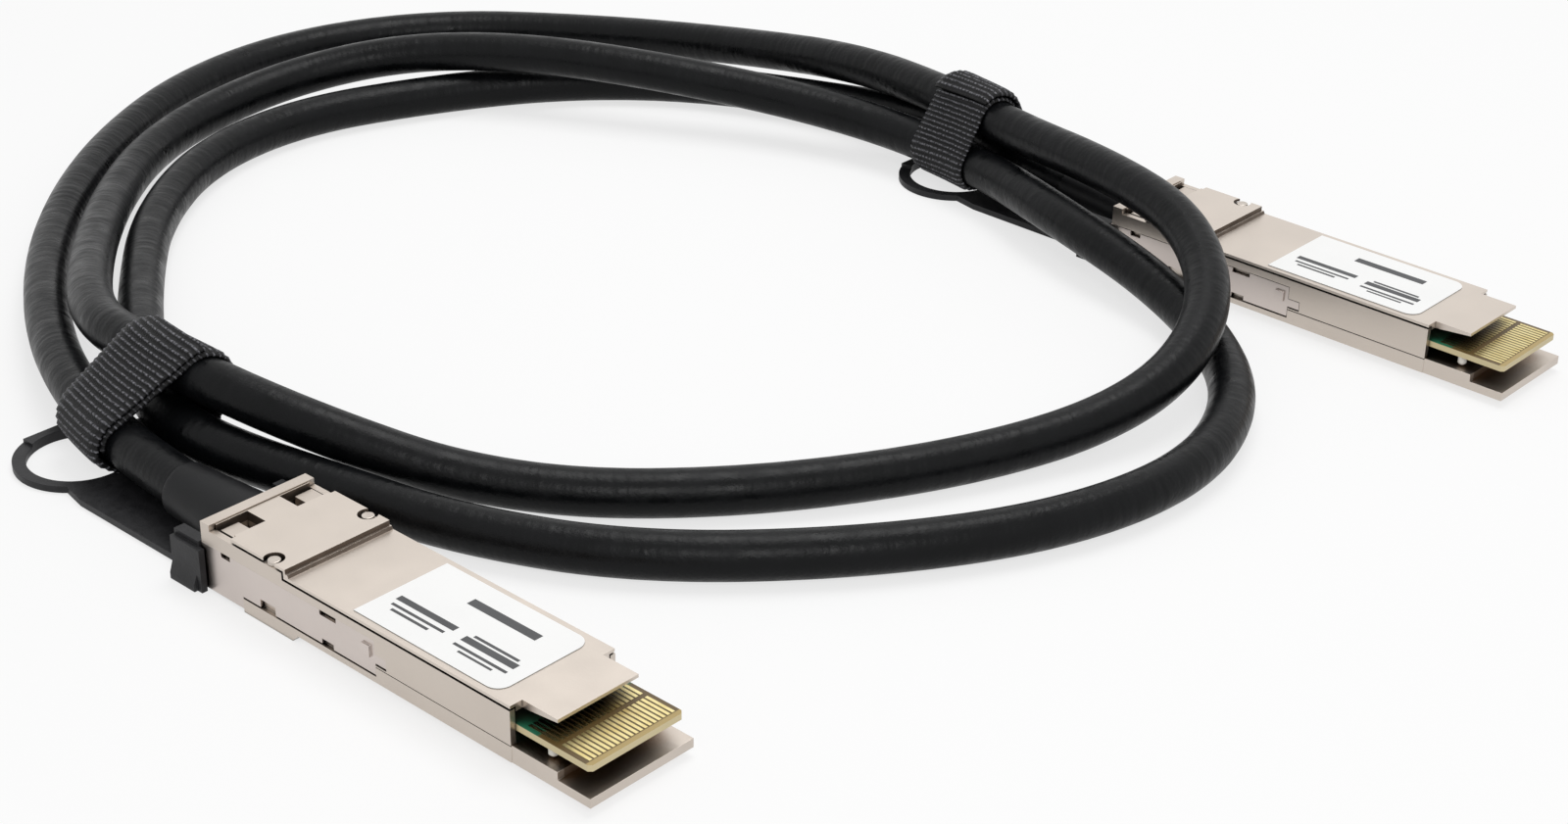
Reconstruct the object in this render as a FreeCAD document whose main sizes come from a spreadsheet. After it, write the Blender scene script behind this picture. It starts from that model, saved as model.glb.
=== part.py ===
"""Direct attach copper cable: two pluggable transceiver shells joined by one round cable.

Frame: millimetres, +Z up, +X towards the contacts of plug A, origin under the middle of
plug A's head on the surface that the cable lies on. Plug B is a second copy of plug A.
Every length in SIZES becomes a cell of the sheet, and the sketches and solids are bound to it.
"""
import FreeCAD, Part
import math
import os
import Sketcher

Vector = FreeCAD.Vector

SIZES = {
    # where plug B lies, seen from plug A
    "plug_b_x": 26.3,
    "plug_b_y": 173.4,
    # die-cast body: stations along X from the middle of the head
    "overcut": 1.0,
    "body_width": 18.35,
    "head_rear": -9.1,
    "head_front": 9.1,
    "ridge_ledge": 0.7,
    "ridge_slope": 0.25,
    "body_front": 53.1,
    "body_bottom": 1.2,
    "body_top": 9.7,
    "head_top": 10.85,
    "rim_top": 11.05,
    "rim_length": 1.9,
    "heel_slope": 1.2,
    # lower tray and its mating lip
    "split_height": 3.6,
    "floor_thickness": 1.4,
    "lip_length": 14.1,
    "lip_inset": 0.1,
    "rail_length": 8.3,
    "rail_height": 1.2,
    "rail_thickness": 1.15,
    "rest_x": 34.0,
    "rest_length": 1.6,
    "rest_width": 4.0,
    "rest_edge": 2.61,
    # side walls, cavity and lid
    "rear_wall_end": -0.5,
    "cavity_wall": 1.975,
    "card_pocket_start": 31.0,
    "card_wall": 0.865,
    "card_gap": 0.1,
    "seat_edge": 1.025,
    "seat_head": 9.4,
    "seat_body": 8.5,
    "seat_step": 6.0,
    "lid_gap": 0.05,
    "lid_overhang_gap": 0.08,
    "lid_edge": 0.45,
    "seam": 0.3,
    "split_seam": 0.15,
    "lid_flange_start": -2.5,
    "tongue_length": 6.4,
    "tongue_edge": 2.145,
    "tongue_thickness": 0.5,
    "window_start": -6.9,
    "window_end": -2.9,
    "window_inner": 2.8,
    "well_depth": 1.6,
    "boss_inset": 0.7,
    "boss_inner": 4.9,
    "boss_edge": 0.25,
    "boss_top": 10.2,
    # cover pins near the ridge
    "pin_x": 5.7,
    "pin_edge": 1.05,
    "pin_radius": 0.95,
    "pin_ring": 0.55,
    "pin_bottom": 8.45,
    "pin_top": 10.7,
    # latch bracket: two arms in side recesses, joined by a cross strip in the pull tab
    "arm_thickness": 0.5,
    "arm_gap": 0.1,
    "recess_depth": 0.75,
    "recess_gap": 0.15,
    "arm_rear": -13.5,
    "arm_front": 27.0,
    "arm_bottom": 2.3,
    "arm_top": 7.6,
    "skirt_bottom": 0.4,
    "skirt_front": -0.8,
    "nose_length": 2.2,
    "nose_bottom": 4.1,
    "nose_top": 5.5,
    "strip_length": 3.0,
    "strip_thickness": 0.5,
    "notch_depth": 0.8,
    "notch_rear_x": -5.2,
    "notch_rear_width": 2.0,
    "notch_top_x": 15.8,
    "notch_top_width": 3.4,
    "notch_low_x": 16.0,
    "notch_low_width": 2.4,
    "notch_deep_x": 3.0,
    "notch_deep_width": 3.2,
    "notch_deep_depth": 1.3,
    "tooth_x": 16.4,
    "tooth_thickness": 0.5,
    "tooth_bottom": 4.8,
    "tooth_top": 6.6,
    "bump_x": 24.6,
    "bump_length": 1.6,
    "bump_reach": 0.35,
    # return springs in pockets behind the arms
    "spring_pocket_start": 10.0,
    "spring_pocket_end": 17.4,
    "spring_pocket_depth": 0.825,
    "spring_pocket_bottom": 4.5,
    "spring_pocket_top": 6.9,
    "spring_height": 1.8,
    "spring_thickness": 0.15,
    # pull tab lying flat behind the plug
    "tab_bottom": 0.1,
    "tab_thickness": 1.1,
    "tab_half_width": 7.8,
    "tab_neck_half_width": 6.9,
    "tab_neck_x": -45.2,
    "tab_shoulder_x": -40.5,
    "ring_x": -52.0,
    "ring_radius": 9.75,
    "hole_radius": 7.9,
    "hole_offset": 0.3,
    "ring_step_x": -58.6,
    "ring_step_height": 0.5,
    "yoke_rear": -15.0,
    "yoke_front": -9.5,
    "yoke_lip_front": -8.5,
    "yoke_inset": 1.475,
    "yoke_reach": 1.125,
    "yoke_lip_gap": 0.15,
    "yoke_top": 7.7,
    "yoke_shelf": 6.9,
    "yoke_shelf_width": 0.8,
    "foot_flare": 0.55,
    "foot_height": 1.1,
    "foot_slope": 1.6,
    # paddle card and its contacts
    "card_rear": 14.0,
    "card_front": 66.4,
    "card_bottom": 5.67,
    "card_thickness": 1.0,
    "card_tail_gap": 0.3,
    "card_corner": 0.5,
    "pad_edge": 1.01,
    "pad_width": 0.5,
    "pad_thickness": 0.05,
    "pad_count": 19,
    "pad_front_inset": 0.9,
    "pad_front_length": 4.9,
    "pad_row_gap": 0.8,
    "pad_rear_length": 5.2,
    "peg_x": 58.6,
    "peg_edge": 1.21,
    "peg_radius": 0.7,
    "peg_length": 1.3,
    "peg_tip": 0.35,
    # label on the lid
    "label_rear": 22.0,
    "label_front": 49.9,
    "label_inset": 1.05,
    "label_thickness": 0.1,
    "label_corner": 2.2,
    # cable, ferrule, wire block and strain relief
    "cable_diameter": 7.35,
    "cable_height": 5.9,
    "ferrule_flange": 0.5,
    "ferrule_flange_radius": 3.6,
    "ferrule_radius": 2.9,
    "ferrule_bore_radius": 2.3,
    "ferrule_gap": 0.05,
    "block_front": 16.0,
    "block_gap": 0.1,
    "boot_rear": -25.1,
    "boot_waist": -17.5,
    "boot_gap": 0.15,
    "boot_wall": 0.4,
    "boot_ovality": 0.05,
    "boot_waist_half_width": 5.0,
    "boot_waist_half_height": 4.35,
    "boot_half_width": 6.0,
    "boot_half_height": 4.45,
    # hook-and-loop straps
    "strap_width": 14.0,
    "strap_thickness": 1.2,
    "strap_gap": 0.1,
    "lap_bottom": 6.0,
}

# Middle of each strap and its heading in degrees, measured from +X.
STRAPS = {
    "hook_loop_strap_a": (Vector(-47.5, 2.1, 0), 164.3),
    "hook_loop_strap_b": (Vector(-21.5, 172.5, 0), -14.5),
}

# Points of the cable's centre line, chosen by hand from plug A to plug B.
ROUTE = [
    (-9.6, 0, 5.9), (-31, 0, 5.9), (-56, 4.0, 6.9), (-84, 16.5, 5.6),
    (-115, 38.5, 3.8), (-139.5, 66, 3.7), (-155.5, 97, 3.7), (-157.5, 127, 3.7),
    (-145, 154.5, 3.7), (-118, 173, 4.6), (-86, 181.5, 8.0), (-55, 180.6, 13.2),
    (-29, 175.6, 15.0), (-7.5, 170.2, 15.4), (13, 165.0, 17.0), (31, 159.4, 17.2),
    (41.5, 153.9, 15.4), (50.4, 145.2, 12.9), (56.2, 134, 10.2), (58.2, 121.5, 7.4),
    (56, 108.2, 5.2), (50.8, 94.5, 3.9), (43, 77.5, 3.7), (30.5, 58.0, 3.7),
    (14.5, 41, 3.8), (-1, 29.8, 5.4), (-14, 21.0, 9.9), (-29, 14.8, 13.4),
    (-48, 12.6, 14.7), (-69, 15.2, 13.0), (-94.5, 33, 8.8), (-117.8, 53.6, 5.5),
    (-133, 72.8, 4.7), (-139.5, 92.5, 5.2), (-137.3, 111.5, 7.4), (-127, 127.5, 10.2),
    (-110.5, 139.5, 11.9), (-89, 150.5, 11.9), (-62, 165.2, 9.0), (-37, 172.2, 6.9),
    (-13, 168.2, 7.2), (11, 158.2, 8.7), (33, 153.6, 6.4), (52, 145.6, 4.0),
    (67, 130.5, 3.7), (74.5, 108, 3.7), (69.5, 82, 3.7), (54, 56.5, 3.7),
    (32, 33.5, 3.7), (8, 21.5, 3.8), (-12, 16.2, 4.7), (-29, 10.6, 6.3),
    (-41, 10.0, 6.8), (-52.5, 13.5, 6.8), (-67, 22.8, 6.2), (-88, 37.8, 4.4),
    (-109, 55.5, 3.7), (-124.5, 78, 3.7), (-128, 103, 3.7), (-119, 128, 3.7),
    (-106, 151.0, 3.7), (-87, 168.5, 3.7), (-60, 178.8, 4.4), (-32, 181.3, 7.6),
    (-6, 173.4, 5.9), (16.7, 173.4, 5.9),
]

ARC_SHARE = 0.45  # part of the shorter run that an arc of the cable takes on each side
SPRING_FOLDS = 6  # straight stretches of one zigzag return spring


class Size:
    """A length of the sheet, or a sum of lengths, with the expression that says so."""

    def __init__(self, value, text):
        self.value = value
        self.text = text

    @staticmethod
    def of(item):
        if isinstance(item, Size):
            return item
        return Size(float(item), repr(float(item)))

    def _join(self, other, symbol, value):
        return Size(value, f"({self.text} {symbol} {Size.of(other).text})")

    def __add__(self, other):
        return self._join(other, "+", self.value + Size.of(other).value)

    def __sub__(self, other):
        return self._join(other, "-", self.value - Size.of(other).value)

    def __mul__(self, other):
        return self._join(other, "*", self.value * Size.of(other).value)

    def __truediv__(self, other):
        return self._join(other, "/", self.value / Size.of(other).value)

    def __rsub__(self, other):
        return Size.of(other) - self

    def __neg__(self):
        return self * -1


class Cells:
    """The sheet's cells by their aliases, each as a Size."""

    def __init__(self, sheet):
        self.sheet = sheet

    def __getattr__(self, alias):
        return Size(float(self.sheet.get(alias)), f"sizes.{alias}")


def make_sheet(doc):
    """Write SIZES into a spreadsheet, one aliased cell for each."""
    sheet = doc.addObject("Spreadsheet::Sheet", "sizes")
    for row, (alias, value) in enumerate(SIZES.items(), start=1):
        sheet.set(f"A{row}", alias)
        sheet.set(f"B{row}", str(value))
        sheet.setAlias(f"B{row}", alias)
    doc.recompute()
    return sheet


def bind(item, path, size):
    """Tie one property of a document object to the sheet."""
    item.setExpression(path, Size.of(size).text)


def new_body(label, placement):
    body = doc.addObject("PartDesign::Body", label)
    body.Label = label
    body.Placement = placement
    body.AllowCompound = True
    return body


def origin_feature(body, role):
    """One of a body's own planes or axes."""
    return [feature for feature in body.Origin.OriginFeatures if feature.Role == role][0]


def plane_sketch(body, role, offset):
    """An empty sketch on one of the body's own planes, moved along the plane's normal."""
    sketch = body.newObject("Sketcher::SketchObject", f"{body.Name}_sketch")
    sketch.AttachmentSupport = (origin_feature(body, role), [""])
    sketch.MapMode = "FlatFace"
    sketch.AttachmentOffset = FreeCAD.Placement(Vector(0, 0, Size.of(offset).value), FreeCAD.Rotation())
    bind(sketch, "AttachmentOffset.Base.z", offset)
    return sketch


def pin_point(sketch, geometry, point, place):
    """Bind one point of a sketch to its two distances from the sketch's origin."""
    for kind, distance in zip(("DistanceX", "DistanceY"), place):
        amount = Size.of(distance)
        number = sketch.addConstraint(
            Sketcher.Constraint(kind, -1, 1, geometry, point, amount.value))
        if isinstance(distance, Size):
            bind(sketch, f"Constraints[{number}]", amount)


def outline(body, role, offset, corners):
    """A closed outline of straight edges through the corners."""
    sketch = plane_sketch(body, role, offset)
    add_loop(sketch, corners)
    return sketch


def add_loop(sketch, corners):
    """Add one closed loop of straight edges to a sketch."""
    first = sketch.GeometryCount
    count = len(corners)
    points = [Vector(Size.of(x).value, Size.of(y).value, 0) for x, y in corners]
    for index in range(count):
        sketch.addGeometry(Part.LineSegment(points[index], points[(index + 1) % count]), False)
    for index in range(count):
        following = first + (index + 1) % count
        sketch.addConstraint(Sketcher.Constraint("Coincident", first + index, 2, following, 1))
    for index, corner in enumerate(corners):
        pin_point(sketch, first + index, 1, corner)


def add_circle(sketch, centre, radius):
    """Add one circle with a bound centre and radius."""
    place = Vector(Size.of(centre[0]).value, Size.of(centre[1]).value, 0)
    number = sketch.GeometryCount
    sketch.addGeometry(Part.Circle(place, Vector(0, 0, 1), radius.value), False)
    pin_point(sketch, number, 3, centre)
    constraint = sketch.addConstraint(Sketcher.Constraint("Radius", number, radius.value))
    bind(sketch, f"Constraints[{constraint}]", radius)


def circles(body, role, offset, centres, radius):
    """A sketch of equal circles."""
    sketch = plane_sketch(body, role, offset)
    for centre in centres:
        add_circle(sketch, centre, radius)
    return sketch


def box_corners(left, right, low, high):
    """The four corners of an upright rectangle."""
    return [(left, low), (right, low), (right, high), (left, high)]


def rectangles(body, role, offset, boxes):
    """A sketch of separate rectangles, each given as left, right, low and high."""
    sketch = plane_sketch(body, role, offset)
    for box in boxes:
        add_loop(sketch, box_corners(*box))
    return sketch


def pad(body, sketch, length, side="One side"):
    feature = body.newObject("PartDesign::Pad", f"{body.Name}_pad")
    feature.Profile = sketch
    feature.SideType = side
    feature.AllowMultiFace = True
    bind(feature, "Length", length)
    return finish(body, feature, 1)


def pocket(body, sketch, length, side="One side", upwards=False):
    feature = body.newObject("PartDesign::Pocket", f"{body.Name}_pocket")
    feature.Profile = sketch
    feature.SideType = side
    feature.AllowMultiFace = True
    feature.Reversed = upwards
    bind(feature, "Length", length)
    return finish(body, feature, -1)


def mirror(body, feature, role):
    """A copy of a feature on the other side of one of the body's own planes."""
    mirrored = body.newObject("PartDesign::Mirrored", f"{body.Name}_mirror")
    mirrored.Originals = [feature]
    mirrored.MirrorPlane = (origin_feature(body, role), [""])
    body.Tip = mirrored
    doc.recompute()
    return mirrored


def finish(body, feature, sign):
    """Recompute, and check that a pad adds material and a pocket takes some away."""
    before = feature.BaseFeature.Shape.Volume if feature.BaseFeature else 0.0
    body.Tip = feature
    doc.recompute()
    change = feature.Shape.Volume - before
    if change * sign <= 0:
        raise RuntimeError(f"{feature.Name} changes the volume by {change:.3f}")
    return feature


def half_width(inset):
    """Distance from the plug's middle plane to a face that lies inside the shell's side."""
    return cell.body_width / 2 - inset


def card_half_width():
    """Half the width of the card, which fills the space between the front walls."""
    return half_width(cell.card_wall) - cell.card_gap


def tail_half_width():
    """Half the width of the card's tail, which fits between the rear walls."""
    return half_width(cell.cavity_wall) - cell.card_tail_gap


def cavity_corners(front_half):
    """The room inside the shell: narrow behind, and as wide as the card in front."""
    rear_half = half_width(cell.cavity_wall)
    front = cell.body_front + cell.overcut
    return [
        (cell.rear_wall_end, -rear_half), (cell.card_pocket_start, -rear_half),
        (cell.card_pocket_start, -front_half), (front, -front_half), (front, front_half),
        (cell.card_pocket_start, front_half), (cell.card_pocket_start, rear_half),
        (cell.rear_wall_end, rear_half)]


def both_sides(near, far):
    """The spans of two mirrored strips, as low and high distances from the middle plane."""
    return ((near, far), (-far, -near))


def pin_places():
    """Where the two cover pins stand."""
    across = half_width(cell.pin_edge)
    return [(cell.pin_x, across), (cell.pin_x, -across)]


def lower_tray(label, placement):
    """The bottom casting: heel, floor, split line, mating lip with rails and card rests."""
    body = new_body(label, placement)
    core_half = half_width(cell.recess_depth)
    floor = cell.body_bottom + cell.floor_thickness
    heel = cell.head_front + cell.ridge_ledge
    core = outline(body, "XZ_Plane", 0, [
        (cell.head_rear, 0), (heel, 0), (heel + cell.heel_slope, cell.body_bottom),
        (cell.body_front, cell.body_bottom), (cell.body_front, cell.split_height),
        (cell.head_rear, cell.split_height)])
    pad(body, core, core_half * 2, "Symmetric")
    recess_low = cell.arm_bottom - cell.recess_gap
    recess_front = cell.arm_front + cell.recess_gap
    skirt = cell.skirt_front + cell.recess_gap
    skin = outline(body, "XZ_Plane", 0, [
        (skirt, 0), (heel, 0), (heel + cell.heel_slope, cell.body_bottom),
        (cell.body_front, cell.body_bottom), (cell.body_front, cell.split_height),
        (recess_front, cell.split_height), (recess_front, recess_low), (skirt, recess_low)])
    pad(body, skin, cell.body_width, "Symmetric")
    lip_half = half_width(cell.lip_inset)
    lip_front = cell.body_front + cell.lip_length
    lip = rectangles(body, "XY_Plane", cell.body_bottom,
                     [(cell.body_front - cell.overcut, lip_front, -lip_half, lip_half)])
    pad(body, lip, cell.floor_thickness)
    rail_front = cell.body_front + cell.rail_length
    rail_inner = lip_half - cell.rail_thickness
    rails = rectangles(body, "XY_Plane", floor, [
        (cell.body_front, rail_front, low, high) for low, high in both_sides(rail_inner, lip_half)])
    pad(body, rails, cell.rail_height)
    cavity = outline(body, "XY_Plane", floor, cavity_corners(rail_inner))
    pocket(body, cavity, cell.split_height, upwards=True)
    rest_far = card_half_width() - cell.rest_edge + cell.rest_width / 2
    rests = rectangles(body, "XY_Plane", floor, [
        (cell.rest_x, cell.rest_x + cell.rest_length, low, high)
        for low, high in both_sides(rest_far - cell.rest_width, rest_far)])
    pad(body, rests, cell.card_bottom - floor)
    bore(body)
    return body


def bore(body):
    """The round seat of the ferrule through the rear wall."""
    seat = circles(body, "YZ_Plane", cell.head_rear, [(0, cell.cable_height)],
                   cell.ferrule_radius + cell.ferrule_gap)
    pocket(body, seat, cell.rear_wall_end - cell.head_rear, upwards=True)


def side_frame(label, placement):
    """The middle casting: rear block, side walls, arm recesses, lid seat and window bosses."""
    body = new_body(label, placement)
    core_half = half_width(cell.recess_depth)
    wall_head = cell.head_top - cell.lid_edge - cell.seam
    wall_body = cell.body_top - cell.lid_edge - cell.seam
    ridge = cell.head_front - cell.ridge_ledge
    rim_front = cell.head_rear + cell.rim_length
    top_line = [
        (cell.body_front, wall_body), (ridge, wall_body), (ridge, wall_head),
        (rim_front, wall_head), (rim_front, cell.rim_top), (cell.head_rear, cell.rim_top)]
    core = outline(body, "XZ_Plane", 0, [
        (cell.head_rear, cell.split_height), (cell.body_front, cell.split_height)] + top_line)
    pad(body, core, core_half * 2, "Symmetric")
    gap = cell.recess_gap
    nose = cell.arm_front + cell.nose_length + gap
    arm_end = cell.arm_front + gap
    skin_low = cell.split_height + cell.split_seam
    skin = outline(body, "XZ_Plane", 0, [
        (arm_end, skin_low), (cell.body_front, skin_low)] + top_line + [
        (cell.head_rear, cell.arm_top + gap), (arm_end, cell.arm_top + gap),
        (arm_end, cell.nose_top + gap), (nose, cell.nose_top + gap),
        (nose, cell.nose_bottom - gap), (arm_end, cell.nose_bottom - gap)])
    pad(body, skin, cell.body_width, "Symmetric")
    cavity = outline(body, "XY_Plane", cell.split_height, cavity_corners(half_width(cell.card_wall)))
    pocket(body, cavity, cell.rim_top, upwards=True)
    seat_half = half_width(cell.seat_edge)
    for start, height in ((rim_front, cell.seat_head), (cell.seat_step, cell.seat_body)):
        seat = rectangles(body, "XY_Plane", height, [
            (start, cell.body_front + cell.overcut, -seat_half, seat_half)])
        pocket(body, seat, cell.rim_top, upwards=True)
    well_floor = cell.seat_head - cell.well_depth
    wells = rectangles(body, "XY_Plane", well_floor, [
        (cell.window_start, cell.window_end, low, high)
        for low, high in both_sides(cell.window_inner, seat_half)])
    pocket(body, wells, cell.seat_head, upwards=True)
    bosses = rectangles(body, "XY_Plane", well_floor, [
        (cell.window_start + cell.boss_inset, cell.window_end, low, high)
        for low, high in both_sides(cell.boss_inner, seat_half - cell.boss_edge)])
    pad(body, bosses, cell.boss_top - well_floor)
    sockets = circles(body, "XY_Plane", cell.pin_bottom, pin_places(), cell.pin_radius)
    pocket(body, sockets, cell.rim_top, upwards=True)
    spring_pockets(body)
    bore(body)
    return body


def spring_pockets(body):
    """A blind pocket in each arm recess, where a return spring lies."""
    room = rectangles(body, "XY_Plane", cell.spring_pocket_bottom, [
        (cell.spring_pocket_start, cell.spring_pocket_end, low, high)
        for low, high in both_sides(pocket_floor(), half_width(cell.recess_depth))])
    pocket(body, room, cell.spring_pocket_top - cell.spring_pocket_bottom, upwards=True)


def pocket_floor():
    """Distance of a spring pocket's floor from the plug's middle plane."""
    return half_width(cell.recess_depth) - cell.spring_pocket_depth


def top_cover(label, placement):
    """The lid: stepped plate from the rim to the tongue, edge flange, windows and pin rings."""
    body = new_body(label, placement)
    plate_half = half_width(cell.seat_edge) - cell.lid_gap
    rear = cell.head_rear + cell.rim_length + cell.lid_gap
    tongue_front = cell.body_front + cell.tongue_length
    ledge = cell.head_front + cell.ridge_ledge
    ledge_top = cell.body_top + cell.lid_edge
    seat_step = cell.seat_step + cell.lid_gap
    ridge_line = [
        (ledge, cell.body_top), (ledge - cell.ridge_slope, ledge_top), (cell.head_front, ledge_top),
        (cell.head_front, cell.head_top)]
    plate = outline(body, "XZ_Plane", 0, [
        (rear, cell.seat_head), (seat_step, cell.seat_head), (seat_step, cell.seat_body),
        (cell.body_front, cell.seat_body),
        (tongue_front, cell.body_top - cell.tongue_thickness), (tongue_front, cell.body_top)]
        + ridge_line + [(rear, cell.head_top)])
    pad(body, plate, plate_half * 2, "Symmetric")
    flange_half = half_width(cell.lid_overhang_gap)
    ridge = cell.head_front - cell.ridge_ledge + cell.seam
    flange = outline(body, "XZ_Plane", 0, [
        (cell.lid_flange_start, cell.head_top - cell.lid_edge), (ridge, cell.head_top - cell.lid_edge),
        (ridge, cell.body_top - cell.lid_edge), (cell.body_front, cell.body_top - cell.lid_edge),
        (cell.body_front, cell.body_top)] + ridge_line + [(cell.lid_flange_start, cell.head_top)])
    pad(body, flange, flange_half * 2, "Symmetric")
    beyond = flange_half + cell.overcut
    flanks = rectangles(body, "XY_Plane", cell.seat_body - cell.overcut, [
        (cell.body_front, tongue_front + cell.overcut, low, high)
        for low, high in both_sides(half_width(cell.tongue_edge), beyond)])
    pocket(body, flanks, cell.head_top, upwards=True)
    windows = rectangles(body, "XY_Plane", cell.seat_head - cell.overcut, [
        (cell.window_start, cell.window_end, low, high)
        for low, high in both_sides(cell.window_inner, beyond)])
    pocket(body, windows, cell.head_top, upwards=True)
    rings = circles(body, "XY_Plane", cell.seat_body - cell.overcut, pin_places(),
                    cell.pin_radius + cell.pin_ring)
    pocket(body, rings, cell.head_top, upwards=True)
    return body


def cover_pins(label, placement):
    """The two staked pins that hold the lid, standing in the middle of their rings."""
    body = new_body(label, placement)
    stems = circles(body, "XY_Plane", cell.pin_bottom, pin_places(), cell.pin_radius)
    pad(body, stems, cell.pin_top - cell.pin_bottom)
    return body


def notched_edge(height, depth, notches):
    """Corners along one edge of the arm that dips into each notch, in the order given."""
    corners = []
    for start, width in notches:
        corners += [(start, height), (start, height + depth),
                    (start + width, height + depth), (start + width, height)]
    return corners


def latch_bracket(label, placement):
    """The sliding bracket: two notched arms, spring teeth, release bumps and a cross strip."""
    body = new_body(label, placement)
    outer = arm_outer_face()
    inner = outer - cell.arm_thickness
    strip_front = cell.arm_rear + cell.strip_length
    strip = rectangles(body, "XY_Plane", cell.skirt_bottom,
                       [(cell.arm_rear, strip_front, -outer, outer)])
    pad(body, strip, cell.strip_thickness)
    low = notched_edge(cell.arm_bottom, cell.notch_deep_depth,
                       [(cell.notch_deep_x, cell.notch_deep_width)])
    low += notched_edge(cell.arm_bottom, cell.notch_depth,
                        [(cell.notch_low_x, cell.notch_low_width)])
    high = notched_edge(cell.arm_top, -cell.notch_depth, [
        (cell.notch_rear_x, cell.notch_rear_width), (cell.notch_top_x, cell.notch_top_width)])
    nose = cell.arm_front + cell.nose_length
    side = outline(body, "XZ_Plane", -inner, [
        (cell.arm_rear, cell.skirt_bottom), (cell.skirt_front, cell.skirt_bottom),
        (cell.skirt_front, cell.arm_bottom)] + low + [
        (cell.arm_front, cell.arm_bottom), (cell.arm_front, cell.nose_bottom),
        (nose, cell.nose_bottom), (nose, cell.nose_top), (cell.arm_front, cell.nose_top),
        (cell.arm_front, cell.arm_top)] + high[::-1] + [(cell.arm_rear, cell.arm_top)])
    arm = pad(body, side, cell.arm_thickness)
    arm.Reversed = True
    mirror(body, arm, "XZ_Plane")
    tooth_end = pocket_floor() + cell.arm_gap
    teeth = rectangles(body, "XY_Plane", cell.tooth_bottom, [
        (cell.tooth_x, cell.tooth_x + cell.tooth_thickness, near, far)
        for near, far in both_sides(tooth_end, inner)])
    pad(body, teeth, cell.tooth_top - cell.tooth_bottom)
    bumps = rectangles(body, "XY_Plane", cell.tooth_bottom, [
        (cell.bump_x, cell.bump_x + cell.bump_length, near, far)
        for near, far in both_sides(outer, outer + cell.bump_reach)])
    pad(body, bumps, cell.tooth_top - cell.tooth_bottom)
    return body


def arm_outer_face():
    """Distance of an arm's outer face from the plug's middle plane."""
    return half_width(cell.recess_depth) + cell.arm_gap + cell.arm_thickness


def return_springs(label, placement):
    """Two zigzag strip springs, each between its pocket's rear wall and the bracket's tooth."""
    body = new_body(label, placement)
    near = pocket_floor() + cell.arm_gap
    far = arm_outer_face() - cell.arm_thickness - cell.arm_gap - cell.spring_thickness
    step = (cell.tooth_x - cell.spring_pocket_start) / SPRING_FOLDS
    crests = [(cell.spring_pocket_start + step * index, far if index % 2 else near)
              for index in range(SPRING_FOLDS + 1)]
    shifted = [(along, across + cell.spring_thickness) for along, across in crests]
    middle = (cell.tooth_bottom + cell.tooth_top) / 2
    sketch = plane_sketch(body, "XY_Plane", middle - cell.spring_height / 2)
    add_loop(sketch, crests + shifted[::-1])
    spring = pad(body, sketch, cell.spring_height)
    mirror(body, spring, "XZ_Plane")
    return body


def tab_blank(label, placement):
    """The moulded pull tab before the bracket is set in it: strap, finger ring and yoke."""
    body = new_body(label, placement)
    half = cell.tab_half_width
    neck = cell.tab_neck_half_width
    yoke = cell.yoke_rear + cell.overcut
    strap = outline(body, "XY_Plane", cell.tab_bottom, [
        (cell.tab_neck_x, -neck), (cell.tab_shoulder_x, -half), (yoke, -half), (yoke, half),
        (cell.tab_shoulder_x, half), (cell.tab_neck_x, neck)])
    pad(body, strap, cell.tab_thickness)
    ring = circles(body, "XY_Plane", cell.tab_bottom, [(cell.ring_x, 0)], cell.ring_radius)
    pad(body, ring, cell.tab_thickness)
    ridge_half = cell.tab_neck_half_width / 2
    ridge_rear = cell.ring_x - cell.ring_radius + cell.ring_step_height
    ridge = rectangles(body, "XY_Plane", cell.tab_bottom, [
        (ridge_rear, cell.ring_step_x, -ridge_half, ridge_half)])
    pad(body, ridge, cell.tab_thickness + cell.ring_step_height)
    hole = circles(body, "XY_Plane", cell.tab_bottom - cell.overcut,
                   [(cell.ring_x + cell.hole_offset, 0)], cell.hole_radius)
    pocket(body, hole, cell.tab_thickness + cell.ring_step_height + cell.overcut * 2, upwards=True)
    outer = cell.body_width / 2 + cell.yoke_reach
    inner = half_width(cell.yoke_inset)
    crossbar = rectangles(body, "XY_Plane", cell.tab_bottom, [
        (cell.yoke_rear, cell.yoke_front, -outer, outer)])
    pad(body, crossbar, cell.tab_thickness)
    leg_profile = [
        (inner, cell.tab_bottom), (outer + cell.foot_flare, cell.tab_bottom),
        (outer + cell.foot_flare, cell.foot_height),
        (outer, cell.foot_height + cell.foot_slope), (outer, cell.yoke_shelf),
        (outer - cell.yoke_shelf_width, cell.yoke_shelf),
        (outer - cell.yoke_shelf_width, cell.yoke_top), (inner, cell.yoke_top)]
    legs = plane_sketch(body, "YZ_Plane", cell.yoke_rear)
    add_loop(legs, leg_profile)
    add_loop(legs, [(-across, height) for across, height in leg_profile])
    pad(body, legs, cell.yoke_front - cell.yoke_rear)
    lip_inner = cell.body_width / 2 + cell.yoke_lip_gap
    lips = rectangles(body, "XY_Plane", cell.tab_bottom, [
        (cell.yoke_front, cell.yoke_lip_front, low, high)
        for low, high in both_sides(lip_inner, outer)])
    pad(body, lips, cell.yoke_shelf - cell.tab_bottom)
    return body


def pull_tab(label, placement, bracket):
    """The pull tab, moulded over the rear ends of the latch bracket."""
    blank = tab_blank(f"{label}_blank", placement)
    tab = doc.addObject("Part::Cut", label)
    tab.Label = label
    tab.Base = blank
    tab.Tool = bracket
    doc.recompute()
    return tab


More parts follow.
